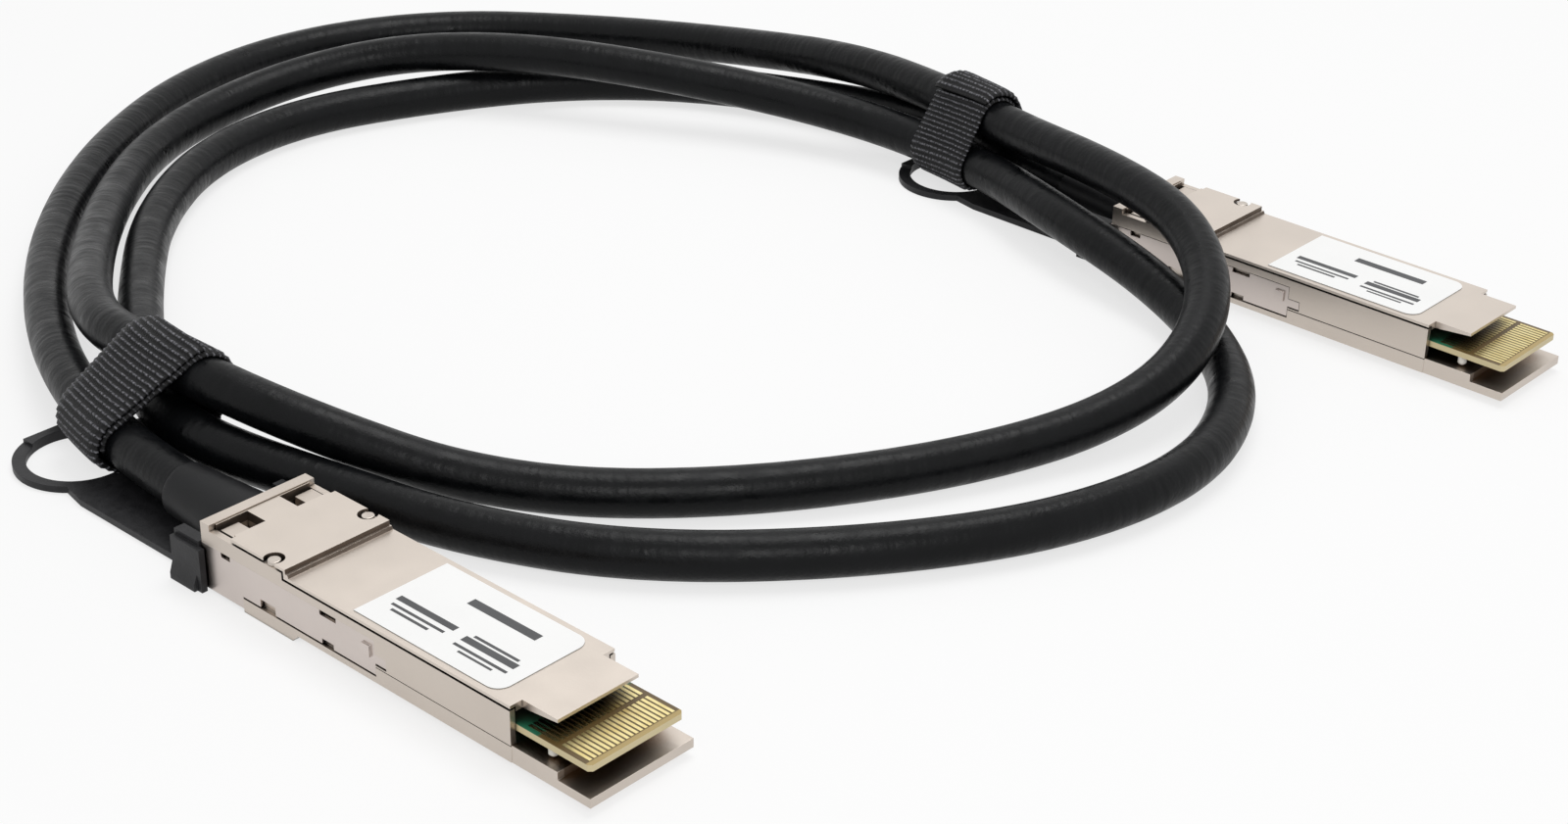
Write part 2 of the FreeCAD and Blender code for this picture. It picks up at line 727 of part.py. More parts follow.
def paddle_card(label, placement):
    """The circuit card: narrow tail in the wire block, wide front with trimmed corners."""
    body = new_body(label, placement)
    half = card_half_width()
    tail = tail_half_width()
    shoulder = cell.card_pocket_start + cell.card_gap
    corner = cell.card_corner
    card = outline(body, "XY_Plane", cell.card_bottom, [
        (cell.card_rear, -tail), (shoulder, -tail), (shoulder, -half),
        (cell.card_front - corner, -half), (cell.card_front, corner - half),
        (cell.card_front, half - corner), (cell.card_front - corner, half),
        (shoulder, half), (shoulder, tail), (cell.card_rear, tail)])
    pad(body, card, cell.card_thickness)
    return body


def contact_pads(label, placement):
    """Gold fingers: two rows on each face of the card, one finger of each row repeated."""
    front = cell.card_front - cell.pad_front_inset
    middle = front - cell.pad_front_length
    rear = middle - cell.pad_row_gap
    half_span = card_half_width() - cell.pad_edge
    low = -half_span - cell.pad_width / 2
    body = new_body(label, placement)
    for height in (cell.card_bottom + cell.card_thickness, cell.card_bottom - cell.pad_thickness):
        fingers = rectangles(body, "XY_Plane", height, [
            (middle, front, low, low + cell.pad_width),
            (rear - cell.pad_rear_length, rear, low, low + cell.pad_width)])
        first = pad(body, fingers, cell.pad_thickness)
        row = body.newObject("PartDesign::LinearPattern", f"{body.Name}_row")
        row.Originals = [first]
        row.Direction = (origin_feature(body, "Y_Axis"), [""])
        bind(row, "Length", half_span * 2)
        bind(row, "Occurrences", cell.pad_count)
        finish(body, row, 1)
    return body


def card_peg(label, placement):
    """The small white peg under the card's near edge, with a tapered tip."""
    body = new_body(label, placement)
    stem_top = cell.card_bottom - cell.pad_thickness
    stem_bottom = stem_top - cell.peg_length
    tip = stem_bottom - cell.peg_tip
    edge = cell.peg_x + cell.peg_radius
    section = outline(body, "XZ_Plane", card_half_width() - cell.peg_edge, [
        (cell.peg_x, tip), (cell.peg_x + cell.peg_radius / 2, tip), (edge, stem_bottom),
        (edge, stem_top), (cell.peg_x, stem_top)])
    turn = body.newObject("PartDesign::Revolution", f"{body.Name}_turn")
    turn.Profile = section
    turn.ReferenceAxis = (section, ["Edge5"])
    turn.Angle = 360
    finish(body, turn, 1)
    return body


def cover_label(label, placement):
    """The label on the lid, with rounded front corners."""
    body = new_body(label, placement)
    half = half_width(cell.label_inset)
    sheet_outline = rectangles(body, "XY_Plane", cell.body_top,
                               [(cell.label_rear, cell.label_front, -half, half)])
    plain = pad(body, sheet_outline, cell.label_thickness)
    edges = upright_edges(plain.Shape, cell.label_front.value)
    rounding = body.newObject("PartDesign::Fillet", f"{body.Name}_rounding")
    rounding.Base = (plain, edges)
    bind(rounding, "Radius", cell.label_corner)
    finish(body, rounding, -1)
    return body


def upright_edges(shape, along):
    """Names of the vertical edges at one X of a shape in its body's own frame."""
    names = []
    for number, edge in enumerate(shape.Edges, start=1):
        box = edge.BoundBox
        if box.XLength < 1e-6 and box.YLength < 1e-6 and abs(box.XMin - along) < 1e-6:
            names.append(f"Edge{number}")
    return names


def crimp_ferrule(label, placement):
    """The crimped ring that ends the cable's braid: flange outside, neck in the rear wall."""
    body = new_body(label, placement)
    flange_rear = cell.head_rear - cell.ferrule_flange
    axis = cell.cable_height
    bore_line = axis + cell.ferrule_bore_radius
    section = outline(body, "XZ_Plane", 0, [
        (flange_rear, bore_line), (flange_rear, axis + cell.ferrule_flange_radius),
        (cell.head_rear, axis + cell.ferrule_flange_radius), (cell.head_rear, axis + cell.ferrule_radius),
        (cell.rear_wall_end, axis + cell.ferrule_radius), (cell.rear_wall_end, bore_line)])
    number = section.GeometryCount
    section.addGeometry(Part.LineSegment(Vector(flange_rear.value, axis.value, 0),
                                         Vector(cell.rear_wall_end.value, axis.value, 0)), True)
    pin_point(section, number, 1, (flange_rear, axis))
    pin_point(section, number, 2, (cell.rear_wall_end, axis))
    doc.recompute()
    turn = body.newObject("PartDesign::Revolution", f"{body.Name}_turn")
    turn.Profile = section
    turn.ReferenceAxis = (section, ["Axis0"])
    turn.Angle = 360
    finish(body, turn, 1)
    return body


def wire_block(label, placement):
    """The moulded block between the ferrule and the card, with a slot for the card's tail."""
    body = new_body(label, placement)
    half = half_width(cell.cavity_wall) - cell.block_gap
    bottom = cell.body_bottom + cell.floor_thickness + cell.block_gap
    top = cell.seat_body - cell.block_gap
    block = rectangles(body, "XZ_Plane", 0, [(cell.rear_wall_end, cell.block_front, bottom, top)])
    pad(body, block, half * 2, "Symmetric")
    card_top = cell.card_bottom + cell.card_thickness
    slot = rectangles(body, "XZ_Plane", 0, [
        (cell.card_rear, cell.block_front + cell.overcut, cell.card_bottom, card_top)])
    pocket(body, slot, tail_half_width() * 2, "Symmetric")
    return body


def section_ellipse(name, along, half_width, half_height):
    """One upright section of the strain relief, across the cable."""
    ellipse = doc.addObject("Part::Ellipse", name)
    ellipse.Placement = FreeCAD.Placement(Vector(), FreeCAD.Rotation(Vector(1, 1, 1), 120))
    bind(ellipse, "Placement.Base.x", along)
    bind(ellipse, "Placement.Base.z", cell.cable_height)
    bind(ellipse, "MajorRadius", half_width)
    bind(ellipse, "MinorRadius", half_height)
    return ellipse


def strain_relief(label, placement):
    """The flared boot: round behind, oval where it meets the head, bored for the cable."""
    bore_radius = cell.cable_diameter / 2 + cell.boot_gap
    rear_radius = bore_radius + cell.boot_wall
    flare = doc.addObject("Part::Loft", f"{label}_flare")
    flare.Sections = [
        section_ellipse(f"{label}_rear", cell.boot_rear, rear_radius + cell.boot_ovality, rear_radius),
        section_ellipse(f"{label}_waist", cell.boot_waist,
                        cell.boot_waist_half_width, cell.boot_waist_half_height),
        section_ellipse(f"{label}_front", cell.head_rear, cell.boot_half_width, cell.boot_half_height)]
    flare.Solid = True
    hole = doc.addObject("Part::Cylinder", f"{label}_hole")
    hole.Placement = FreeCAD.Placement(Vector(), FreeCAD.Rotation(Vector(0, 1, 0), 90))
    bind(hole, "Placement.Base.x", cell.boot_rear - cell.overcut)
    bind(hole, "Placement.Base.z", cell.cable_height)
    bind(hole, "Radius", bore_radius)
    bind(hole, "Height", cell.head_rear - cell.boot_rear + cell.overcut * 2)
    boot = doc.addObject("Part::Cut", label)
    boot.Label = label
    boot.Base = flare
    boot.Tool = hole
    boot.Placement = placement
    doc.recompute()
    return boot


def route_edges():
    """Straight runs of the route, joined by tangent arcs as large as the runs allow."""
    points = [Vector(*point) for point in ROUTE]
    edges = []
    start = points[0]
    for before, corner, after in zip(points, points[1:], points[2:]):
        incoming = (corner - before).normalize()
        outgoing = (after - corner).normalize()
        reach = ARC_SHARE * min((corner - before).Length, (after - corner).Length)
        turn = incoming.getAngle(outgoing)
        radius = reach / math.tan(turn / 2)
        arc_start = corner - incoming * reach
        arc_end = corner + outgoing * reach
        inward = (outgoing - incoming).normalize()
        middle = corner + inward * (radius / math.cos(turn / 2) - radius)
        edges.append(Part.LineSegment(start, arc_start).toShape())
        edges.append(Part.Arc(arc_start, middle, arc_end).toShape())
        print(f"cable bend of {math.degrees(turn):.0f} degrees, radius {radius:.0f} mm")
        start = arc_end
    edges.append(Part.LineSegment(start, points[-1]).toShape())
    return edges


def cable_tube(label):
    """The cable's jacket along its route, checked against its section times its length."""
    radius = cell.cable_diameter.value / 2
    path = Part.Wire(route_edges())
    start = Vector(*ROUTE[0])
    heading = Vector(*ROUTE[1]) - start
    ring = Part.Wire([Part.makeCircle(radius, start, heading)])
    tube = doc.addObject("Part::Feature", label)
    tube.Label = label
    tube.Shape = path.makePipeShell([ring], True, False)
    expected = math.pi * radius ** 2 * path.Length
    print(f"cable length {path.Length:.1f} mm, volume ratio {tube.Shape.Volume / expected:.4f}")
    if abs(tube.Shape.Volume / expected - 1) > 0.01:
        raise RuntimeError("the cable's volume does not follow from its section and length")
    return tube


def strand_places(path, centre, along, reach):
    """Where the cable passes a strap, as places across the strap and above the floor."""
    across = Vector(-along.y, along.x, 0)
    places = []
    for offset in (-0.5, -0.25, 0, 0.25, 0.5):
        origin = centre + along * (offset * reach)
        for edge in path.Edges:
            ends = [(vertex.Point - origin).dot(along) for vertex in edge.Vertexes]
            if ends[0] * ends[1] > 0:
                continue
            share = ends[0] / (ends[0] - ends[1])
            first, last = edge.ParameterRange
            point = edge.valueAt(first + (last - first) * share)
            away = point - origin
            if abs(away.dot(across)) < reach * 2:
                places.append((away.dot(across), point.z))
    return places


def hull(places):
    """The places on the outside of a group, in order round it."""
    ordered = sorted(set((round(x, 4), round(y, 4)) for x, y in places))
    loops = []
    for run in (ordered, ordered[::-1]):
        chain = []
        for place in run:
            while len(chain) > 1 and turn_of(chain[-2], chain[-1], place) <= 0:
                chain.pop()
            chain.append(place)
        loops += chain[:-1]
    return loops


def turn_of(first, second, third):
    """Twice the signed area between three places; positive for a left turn."""
    return ((second[0] - first[0]) * (third[1] - first[1])
            - (second[1] - first[1]) * (third[0] - first[0]))


def hook_loop_strap(label, path, centre, heading):
    """A strap wound round the strands: their outline, one layer out, and a lapped second layer."""
    angle = math.radians(heading)
    along = Vector(math.cos(angle), math.sin(angle), 0)
    across = Vector(-along.y, along.x, 0)
    width = cell.strap_width.value
    thickness = cell.strap_thickness.value
    places = strand_places(path, centre, along, width)
    origin = centre - along * (width / 2)
    corners = [origin + across * place[0] + Vector(0, 0, place[1]) for place in hull(places)]
    core = Part.Face(Part.makePolygon(corners + corners[:1]))
    inner = cell.cable_diameter.value / 2 + cell.strap_gap.value
    layers = [Part.Face(core.makeOffset2D(inner + thickness * layer).OuterWire)
              for layer in range(3)]
    highest = max(corners, key=lambda corner: corner.z)
    lap_corner = highest - along * width - Vector(0, 0, highest.z - cell.lap_bottom.value)
    lap_area = Part.makeBox(width * 2, width * 2, width * 2)
    lap_area.Placement = FreeCAD.Placement(lap_corner, FreeCAD.Rotation(Vector(0, 0, 1), heading))
    band = layers[1].cut(layers[0]).extrude(along * width)
    lap = layers[2].cut(layers[1]).extrude(along * width).common(lap_area)
    strap = doc.addObject("Part::Feature", label)
    strap.Label = label
    strap.Shape = band.fuse(lap).removeSplitter()
    return strap


def build_plug(suffix, placement):
    """Every piece of one plug, in its own place."""
    bracket = latch_bracket(f"latch_bracket{suffix}", placement)
    return [
        lower_tray(f"lower_tray{suffix}", placement),
        side_frame(f"side_frame{suffix}", placement),
        top_cover(f"top_cover{suffix}", placement),
        cover_pins(f"cover_pins{suffix}", placement),
        bracket,
        return_springs(f"return_springs{suffix}", placement),
        pull_tab(f"pull_tab{suffix}", placement, bracket),
        paddle_card(f"paddle_card{suffix}", placement),
        contact_pads(f"contact_pads{suffix}", placement),
        card_peg(f"card_peg{suffix}", placement),
        cover_label(f"label{suffix}", placement),
        crimp_ferrule(f"crimp_ferrule{suffix}", placement),
        wire_block(f"wire_block{suffix}", placement),
        strain_relief(f"strain_relief{suffix}", placement),
    ]


def check_document():
    """Stop if any object of the document failed to compute."""
    for item in doc.Objects:
        if "Invalid" in item.State or "Error" in item.State:
            raise RuntimeError(f"{item.Name} is {item.State}")


def export(pieces):
    """Check each piece's shape and write it to its own file."""
    os.makedirs("parts", exist_ok=True)
    for piece in pieces:
        shape = piece.Shape
        if shape.isNull() or not shape.isValid():
            raise RuntimeError(f"{piece.Label} has no valid shape")
        shape.exportStep(f"parts/{piece.Label}.step")
        print(f"{piece.Label}: {len(shape.Solids)} solids, {shape.Volume:.1f} mm3")


doc = FreeCAD.newDocument("direct_attach_cable")
cell = Cells(make_sheet(doc))
plug_b_place = FreeCAD.Placement(Vector(SIZES["plug_b_x"], SIZES["plug_b_y"], 0), FreeCAD.Rotation())
pieces = build_plug("_a", FreeCAD.Placement()) + build_plug("_b", plug_b_place)
route = Part.Wire(route_edges())
pieces.append(cable_tube("cable"))
for strap_label, (strap_centre, strap_heading) in STRAPS.items():
    pieces.append(hook_loop_strap(strap_label, route, strap_centre, strap_heading))
doc.recompute()
check_document()
export(pieces)
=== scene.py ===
"""Direct attach copper cable: a coiled round cable with two hook-and-loop straps and two plugs.

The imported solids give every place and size. This script dresses them: it rounds the edges of the
castings, sweeps the jacket, weaves the straps and gives each surface its own finish.
"""

import logging
import math
from collections.abc import Callable
from dataclasses import dataclass, replace
from enum import Enum

import bmesh
import bpy
from mathutils import Matrix, Vector

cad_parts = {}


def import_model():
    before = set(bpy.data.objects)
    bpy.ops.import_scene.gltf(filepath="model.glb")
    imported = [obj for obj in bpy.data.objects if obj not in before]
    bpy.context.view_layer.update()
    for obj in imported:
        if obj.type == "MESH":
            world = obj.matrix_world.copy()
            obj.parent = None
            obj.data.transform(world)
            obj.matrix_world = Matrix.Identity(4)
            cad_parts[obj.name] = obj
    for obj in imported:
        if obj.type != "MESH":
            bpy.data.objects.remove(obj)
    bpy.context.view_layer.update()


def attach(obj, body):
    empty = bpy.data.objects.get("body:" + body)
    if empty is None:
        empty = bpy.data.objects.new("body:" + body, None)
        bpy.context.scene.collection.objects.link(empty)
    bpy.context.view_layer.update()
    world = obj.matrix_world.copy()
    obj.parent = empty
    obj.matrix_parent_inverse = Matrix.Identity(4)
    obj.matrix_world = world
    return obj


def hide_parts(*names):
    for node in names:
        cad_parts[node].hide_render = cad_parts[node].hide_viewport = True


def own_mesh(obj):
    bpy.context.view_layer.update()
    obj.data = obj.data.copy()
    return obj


LOG = logging.getLogger("direct_attach_cable")
MM = 0.001
ROOT_BODY = "cable_and_shells"

# A Mix node has one set of sockets for each type of value, told apart by number only.
MIX_SHARE, FLOAT_A, FLOAT_B, COLOUR_A, COLOUR_B, COLOUR_OUT = 0, 2, 3, 6, 7, 2
# Most of a noise lies between these two, around its mean of one half.
NOISE_LOW, NOISE_HIGH = 0.3, 0.7
# Share of open sky at which a surface takes the full painted shade, and at which it keeps its own
# colour.
SHADE_CLOSED, SHADE_OPEN, SHADE_SAMPLES = 0.3, 0.75, 12
# Component of a face's direction above which the face counts as facing that way.
FACING = 0.5
# Points this near are one point: of a made skin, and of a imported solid.
WELD_M, SAME_POINT_M = 1e-7, 1e-6
# Faces that meet at less than the first are one face; edges over the second are rounded.
FLAT_DEGREES, SHARP_DEGREES, EDGE_SEGMENTS = 0.5, 28, 2

Colour = tuple[float, float, float, float]
Output = tuple[bpy.types.Node, str | int]
Grid = list[list[Vector]]
FlatGrid = list[list[tuple[float, float]]]


def linear(hex_colour: str) -> Colour:
    """Turn an sRGB hex colour into linear light.

    Args:
        hex_colour: six hex digits after a hash sign.

    Returns:
        Red, green, blue and an alpha of one.
    """
    shares = [int(hex_colour[place:place + 2], 16) / 255 for place in (1, 3, 5)]
    light = [share / 12.92 if share <= 0.04045 else ((share + 0.055) / 1.055) ** 2.4
             for share in shares]
    return (light[0], light[1], light[2], 1.0)


def add_node(tree: bpy.types.NodeTree, kind: str, inputs: dict | None = None,
             links: dict | None = None, **settings: object) -> bpy.types.Node:
    """Add one shader node with its settings, its socket values and what feeds it.

    Args:
        tree: the node tree that the node joins.
        kind: Blender's name of the node type.
        inputs: values of unlinked sockets, by socket name or number.
        links: the output that feeds a socket, by socket name or number.
        **settings: attributes of the node itself.

    Returns:
        The new node.
    """
    node = tree.nodes.new(kind)
    for name, value in settings.items():
        setattr(node, name, value)
    for socket, value in (inputs or {}).items():
        node.inputs[socket].default_value = value
    for socket, (source, output) in (links or {}).items():
        tree.links.new(source.outputs[output], node.inputs[socket])
    return node


def empty_tree(owner: bpy.types.Material | bpy.types.World) -> bpy.types.NodeTree:
    """Switch a material or world to nodes, and start it with none.

    Args:
        owner: the material or world.

    Returns:
        Its empty node tree.
    """
    owner.use_nodes = True
    owner.node_tree.nodes.clear()
    return owner.node_tree


def add_object(name: str, data: bpy.types.ID) -> bpy.types.Object:
    """Put an object of some data into the scene.

    Args:
        name: the object's name.
        data: its mesh, curve, lamp or camera.

    Returns:
        The new object.
    """
    item = bpy.data.objects.new(name, data)
    bpy.context.scene.collection.objects.link(item)
    return item


def mesh_of(shape: bmesh.types.BMesh, name: str) -> bpy.types.Mesh:
    """Write an edited shape to a new mesh, and let go of the shape.

    Args:
        shape: the edited shape.
        name: the mesh's name.

    Returns:
        The new mesh.
    """
    mesh = bpy.data.meshes.new(name)
    shape.to_mesh(mesh)
    shape.free()
    return mesh


class Space(Enum):
    """Where a finish takes its pattern from."""

    SOLID = "Object"
    UNROLLED = "UV"


@dataclass(frozen=True)
class Finish:
    """A cast, moulded or rolled surface: two close colours in soft clouds, and a fine grain.

    Each method that adds nodes takes the material's node tree and the coordinates in metres,
    and returns the output that carries its result.
    """

    name: str
    colour: str
    colour_deep: str
    roughness: float
    metallic: float = 0.0
    ior: float = 1.5
    specular: float = 0.5
    cloud_mm: float = 5.0
    grain_mm: float = 0.5
    grain_height_mm: float = 0.02
    roughness_spread: float = 0.03
    # How far the painted shade in joints and slots reaches, and the colour it falls to.
    shade_reach_mm: float = 0.0
    shade_colour: str = "#2A231D"
    space: Space = Space.SOLID

    def noise(self, tree: bpy.types.NodeTree, coords: Output, size_mm: float,
              stretch: tuple[float, float, float] = (1, 1, 1), detail: float = 3.0) -> Output:
        """Add a noise of one real size.

        Args:
            tree: the material's node tree.
            coords: the coordinates, in metres.
            size_mm: the size of one blob.
            stretch: how much longer the blobs are along each axis.
            detail: octaves of finer noise.

        Returns:
            The noise's grey value.
        """
        scale = [1 / (size_mm * MM * factor) for factor in stretch]
        mapping = add_node(tree, "ShaderNodeMapping", {"Scale": scale}, {"Vector": coords})
        noise = add_node(tree, "ShaderNodeTexNoise", {"Scale": 1.0, "Detail": detail},
                         {"Vector": (mapping, "Vector")})
        return noise, "Fac"

    def paint(self, tree: bpy.types.NodeTree, coords: Output) -> Output:
        """Add the colour: clouds between the two colours."""
        clouds = self.noise(tree, coords, self.cloud_mm)
        ramp = add_node(tree, "ShaderNodeValToRGB", links={"Fac": clouds})
        ramp.color_ramp.elements[0].position = NOISE_LOW
        ramp.color_ramp.elements[0].color = linear(self.colour_deep)
        ramp.color_ramp.elements[1].position = NOISE_HIGH
        ramp.color_ramp.elements[1].color = linear(self.colour)
        return ramp, "Color"

    def relief(self, tree: bpy.types.NodeTree, coords: Output) -> Output:
        """Add the height of the fine grain."""
        return self.noise(tree, coords, self.grain_mm)

    def gloss(self, tree: bpy.types.NodeTree, coords: Output) -> Output:
        """Add the roughness, a little uneven as handled surfaces are."""
        patches = self.noise(tree, coords, self.cloud_mm / 2)
        spread = add_node(tree, "ShaderNodeMapRange", {
            "From Min": NOISE_LOW, "From Max": NOISE_HIGH,
            "To Min": self.roughness - self.roughness_spread,
            "To Max": self.roughness + self.roughness_spread}, {"Value": patches})
        return spread, "Result"

    def paint_seam_shade(self, tree: bpy.types.NodeTree, colour: Output) -> Output:
        """Paint shade: let the colour fall to a dark shade colour where walls close in, as in a
        joint or a slot.

        Args:
            tree: the material's node tree.
            colour: the surface's own colour.

        Returns:
            The colour with its painted shade.
        """
        if self.shade_reach_mm == 0:
            return colour
        closeness = add_node(tree, "ShaderNodeAmbientOcclusion", {"Distance": self.shade_reach_mm * MM},
                             samples=SHADE_SAMPLES)
        openness = add_node(tree, "ShaderNodeMapRange",
                            {"From Min": SHADE_CLOSED, "From Max": SHADE_OPEN},
                            {"Value": (closeness, "AO")}, interpolation_type="SMOOTHSTEP")
        both = add_node(tree, "ShaderNodeMix", {COLOUR_A: linear(self.shade_colour)},
                        {MIX_SHARE: (openness, "Result"), COLOUR_B: colour}, data_type="RGBA")
        return both, COLOUR_OUT

    def make(self) -> bpy.types.Material:
        """Build the material.

        Returns:
            The material, the same one each time it is asked for.
        """
        known = bpy.data.materials.get(self.name)
        if known:
            return known
        material = bpy.data.materials.new(self.name)
        tree = empty_tree(material)
        place = add_node(tree, "ShaderNodeTexCoord")
        coords = (place, self.space.value)
        bump = add_node(tree, "ShaderNodeBump",
                        {"Strength": 1.0, "Distance": self.grain_height_mm * MM},
                        {"Height": self.relief(tree, coords)})
        shader = add_node(tree, "ShaderNodeBsdfPrincipled", {
            "Metallic": self.metallic, "IOR": self.ior, "Specular IOR Level": self.specular}, {
            "Base Color": self.paint_seam_shade(tree, self.paint(tree, coords)),
            "Roughness": self.gloss(tree, coords),
            "Normal": (bump, "Normal")})
        add_node(tree, "ShaderNodeOutputMaterial", links={"Surface": (shader, "BSDF")})
        material.diffuse_color = linear(self.colour)
        return material


@dataclass(frozen=True)
class BrushedFinish(Finish):
    """Rolled or stamped strip: the grain is drawn out along the strip."""

    streak: float = 14.0

    def relief(self, tree: bpy.types.NodeTree, coords: Output) -> Output:
        """Add long fine rolling marks along X."""
        return self.noise(tree, coords, self.grain_mm, (self.streak, 1, 1))


@dataclass(frozen=True)
class JacketFinish(Finish):
    """Extruded jacket: shallow creases across the cable over a fine skin."""

    crease_mm: float = 1.7
    crease_round: float = 4.5
    crease_share: float = 0.75

    def relief(self, tree: bpy.types.NodeTree, coords: Output) -> Output:
        """Add creases that run round the cable, and the fine skin between them."""
        creases = self.noise(tree, coords, self.crease_mm, (1, self.crease_round, 1), 1.0)
        skin = self.noise(tree, coords, self.grain_mm)
        both = add_node(tree, "ShaderNodeMix", {MIX_SHARE: 1 - self.crease_share},
                        {FLOAT_A: creases, FLOAT_B: skin})
        return both, "Result"


@dataclass(frozen=True)
class WovenFinish(Finish):
    """Woven tape: ribs across it with a painted highlight on their crests, threads of one real
    pitch, and a napped face.
    """

    thread_mm: float = 0.45
    thread_unevenness: float = 0.35
    rib_mm: float = 0.9
    rib_highlight_colour: str = "#85858B"
    crest: tuple[float, float] = (-0.3, -1.0)
    highlight_patches: tuple[float, float] = (0.4, 0.65)
    nap_share: float = 0.45

    def paint(self, tree: bpy.types.NodeTree, coords: Output) -> Output:
        """Add the nap's colour and a painted highlight, broken into patches, on the crest of each
        rib.
        """
        nap = super().paint(tree, coords)
        parts = add_node(tree, "ShaderNodeSeparateXYZ", links={"Vector": coords})
        turns = add_node(tree, "ShaderNodeMath", {1: math.tau / (self.rib_mm * MM)},
                         {0: (parts, "X")}, operation="MULTIPLY")
        wave = add_node(tree, "ShaderNodeMath", links={0: (turns, "Value")}, operation="COSINE")
        crest = add_node(tree, "ShaderNodeMapRange",
                         {"From Min": self.crest[0], "From Max": self.crest[1]},
                         {"Value": (wave, "Value")})
        highlight_patches = add_node(tree, "ShaderNodeMapRange",
                        {"From Min": self.highlight_patches[0], "From Max": self.highlight_patches[1]},
                        {"Value": self.noise(tree, coords, self.thread_mm)})
        share = add_node(tree, "ShaderNodeMath", links={
            0: (crest, "Result"), 1: (highlight_patches, "Result")}, operation="MULTIPLY")
        both = add_node(tree, "ShaderNodeMix", {COLOUR_B: linear(self.rib_highlight_colour)},
                        {MIX_SHARE: (share, "Value"), COLOUR_A: nap}, data_type="RGBA")
        return both, COLOUR_OUT

    def relief(self, tree: bpy.types.NodeTree, coords: Output) -> Output:
        """Add the crossing threads and the nap over them."""
        scale = [1 / (self.thread_mm * MM)] * 3
        mapping = add_node(tree, "ShaderNodeMapping", {"Scale": scale}, {"Vector": coords})
        cells = add_node(tree, "ShaderNodeTexVoronoi",
                         {"Scale": 1.0, "Randomness": self.thread_unevenness},
                         {"Vector": (mapping, "Vector")}, distance="CHEBYCHEV")
        nap = self.noise(tree, coords, self.grain_mm)
        both = add_node(tree, "ShaderNodeMix", {MIX_SHARE: self.nap_share},
                        {FLOAT_A: (cells, "Distance"), FLOAT_B: nap})
        return both, "Result"


@dataclass(frozen=True)
class BoardFinish(Finish):
    """Circuit board: green mask behind, dark laminate round the fingers, bare edges."""

    laminate: str = "#CFC096"
    finger_ground: str = "#5E4A25"
    front_rim: str = "#AE9760"
    mask_end_mm: float = 56.8
    fingers_end_mm: float = 65.5
    mask_fade_mm: float = 0.4
    rim_fade_mm: float = 0.2
    zone_low_mm: float = 50.0
    zone_high_mm: float = 70.0

    def zones(self, tree: bpy.types.NodeTree, coords: Output) -> Output:
        """Add the colours that follow one another along the card."""
        parts = add_node(tree, "ShaderNodeSeparateXYZ", links={"Vector": coords})
        share = add_node(tree, "ShaderNodeMapRange", {
            "From Min": self.zone_low_mm * MM, "From Max": self.zone_high_mm * MM},
            {"Value": (parts, "X")})
        ramp = add_node(tree, "ShaderNodeValToRGB", links={"Fac": (share, "Result")})
        stops = ramp.color_ramp
        span = self.zone_high_mm - self.zone_low_mm
        stops.elements[0].position = 0.0
        stops.elements[0].color = linear(self.colour)
        stops.elements[1].position = (self.mask_end_mm - self.zone_low_mm) / span
        stops.elements[1].color = linear(self.colour_deep)
        for place_mm, colour in ((self.mask_end_mm + self.mask_fade_mm, self.finger_ground),
                                 (self.fingers_end_mm, self.finger_ground),
                                 (self.fingers_end_mm + self.rim_fade_mm, self.front_rim)):
            stop = stops.elements.new((place_mm - self.zone_low_mm) / span)
            stop.color = linear(colour)
        return ramp, "Color"

    def paint(self, tree: bpy.types.NodeTree, coords: Output) -> Output:
        """Add the zones on what faces up or down and the bare laminate on the rest."""
        shape = add_node(tree, "ShaderNodeNewGeometry")
        parts = add_node(tree, "ShaderNodeSeparateXYZ", links={"Vector": (shape, "Normal")})
        upright = add_node(tree, "ShaderNodeMath", links={0: (parts, "Z")}, operation="ABSOLUTE")
        face = add_node(tree, "ShaderNodeMath", {1: FACING}, {0: (upright, "Value")},
                        operation="GREATER_THAN")
        both = add_node(tree, "ShaderNodeMix", {COLOUR_A: linear(self.laminate)},
                        {MIX_SHARE: (face, "Value"), COLOUR_B: self.zones(tree, coords)},
                        data_type="RGBA")
        return both, COLOUR_OUT


# Finishes with a seam distance get a painted shade in their joints and slots, out to that
# distance.
# Nickel plate over cast zinc: warm, pale and satin, with the faint orange peel of the casting.
SHELL_ZINC = Finish("nickel_plated_cast_zinc", "#CDC3B9", "#C8BEB4", 0.36, metallic=1.0,
                    cloud_mm=9.0, grain_mm=0.4, grain_height_mm=0.016, shade_reach_mm=1.1)
# Inside the mouth the same plate gets a deep painted shade, reaching 5 mm, for the dark card above
# it that it reflects.
MOUTH_ZINC_SHADED = replace(SHELL_ZINC, name="nickel_plated_mouth_painted_shade", shade_reach_mm=5.0, shade_colour="#6E553C")
# The lid is pressed from sheet and plated with the castings, so it is smoother and paler.
LID_ZINC = Finish("nickel_plated_pressed_lid", "#D3C9BF", "#CFC5BB", 0.34, metallic=1.0,
                  cloud_mm=11.0, grain_mm=0.4, grain_height_mm=0.014, shade_reach_mm=1.1)
# The lid's cut edges, at the ridge's steps, the windows and the pin rings, get a dark painted
# shade.
LID_EDGE_SHADE = Finish("painted_shade_cut_edge", "#6B6057", "#5A5048", 0.5, metallic=1.0, cloud_mm=3.0,
                  grain_mm=0.3, grain_height_mm=0.01)
# Stamped stainless strip, slightly pinker than the plate, with rolling marks along it.
LATCH_STEEL = BrushedFinish("stamped_stainless_latch", "#D0C6C0", "#C9BFB9", 0.33, metallic=1.0,
                            cloud_mm=9.0, grain_mm=0.25, grain_height_mm=0.003, shade_reach_mm=0.8)
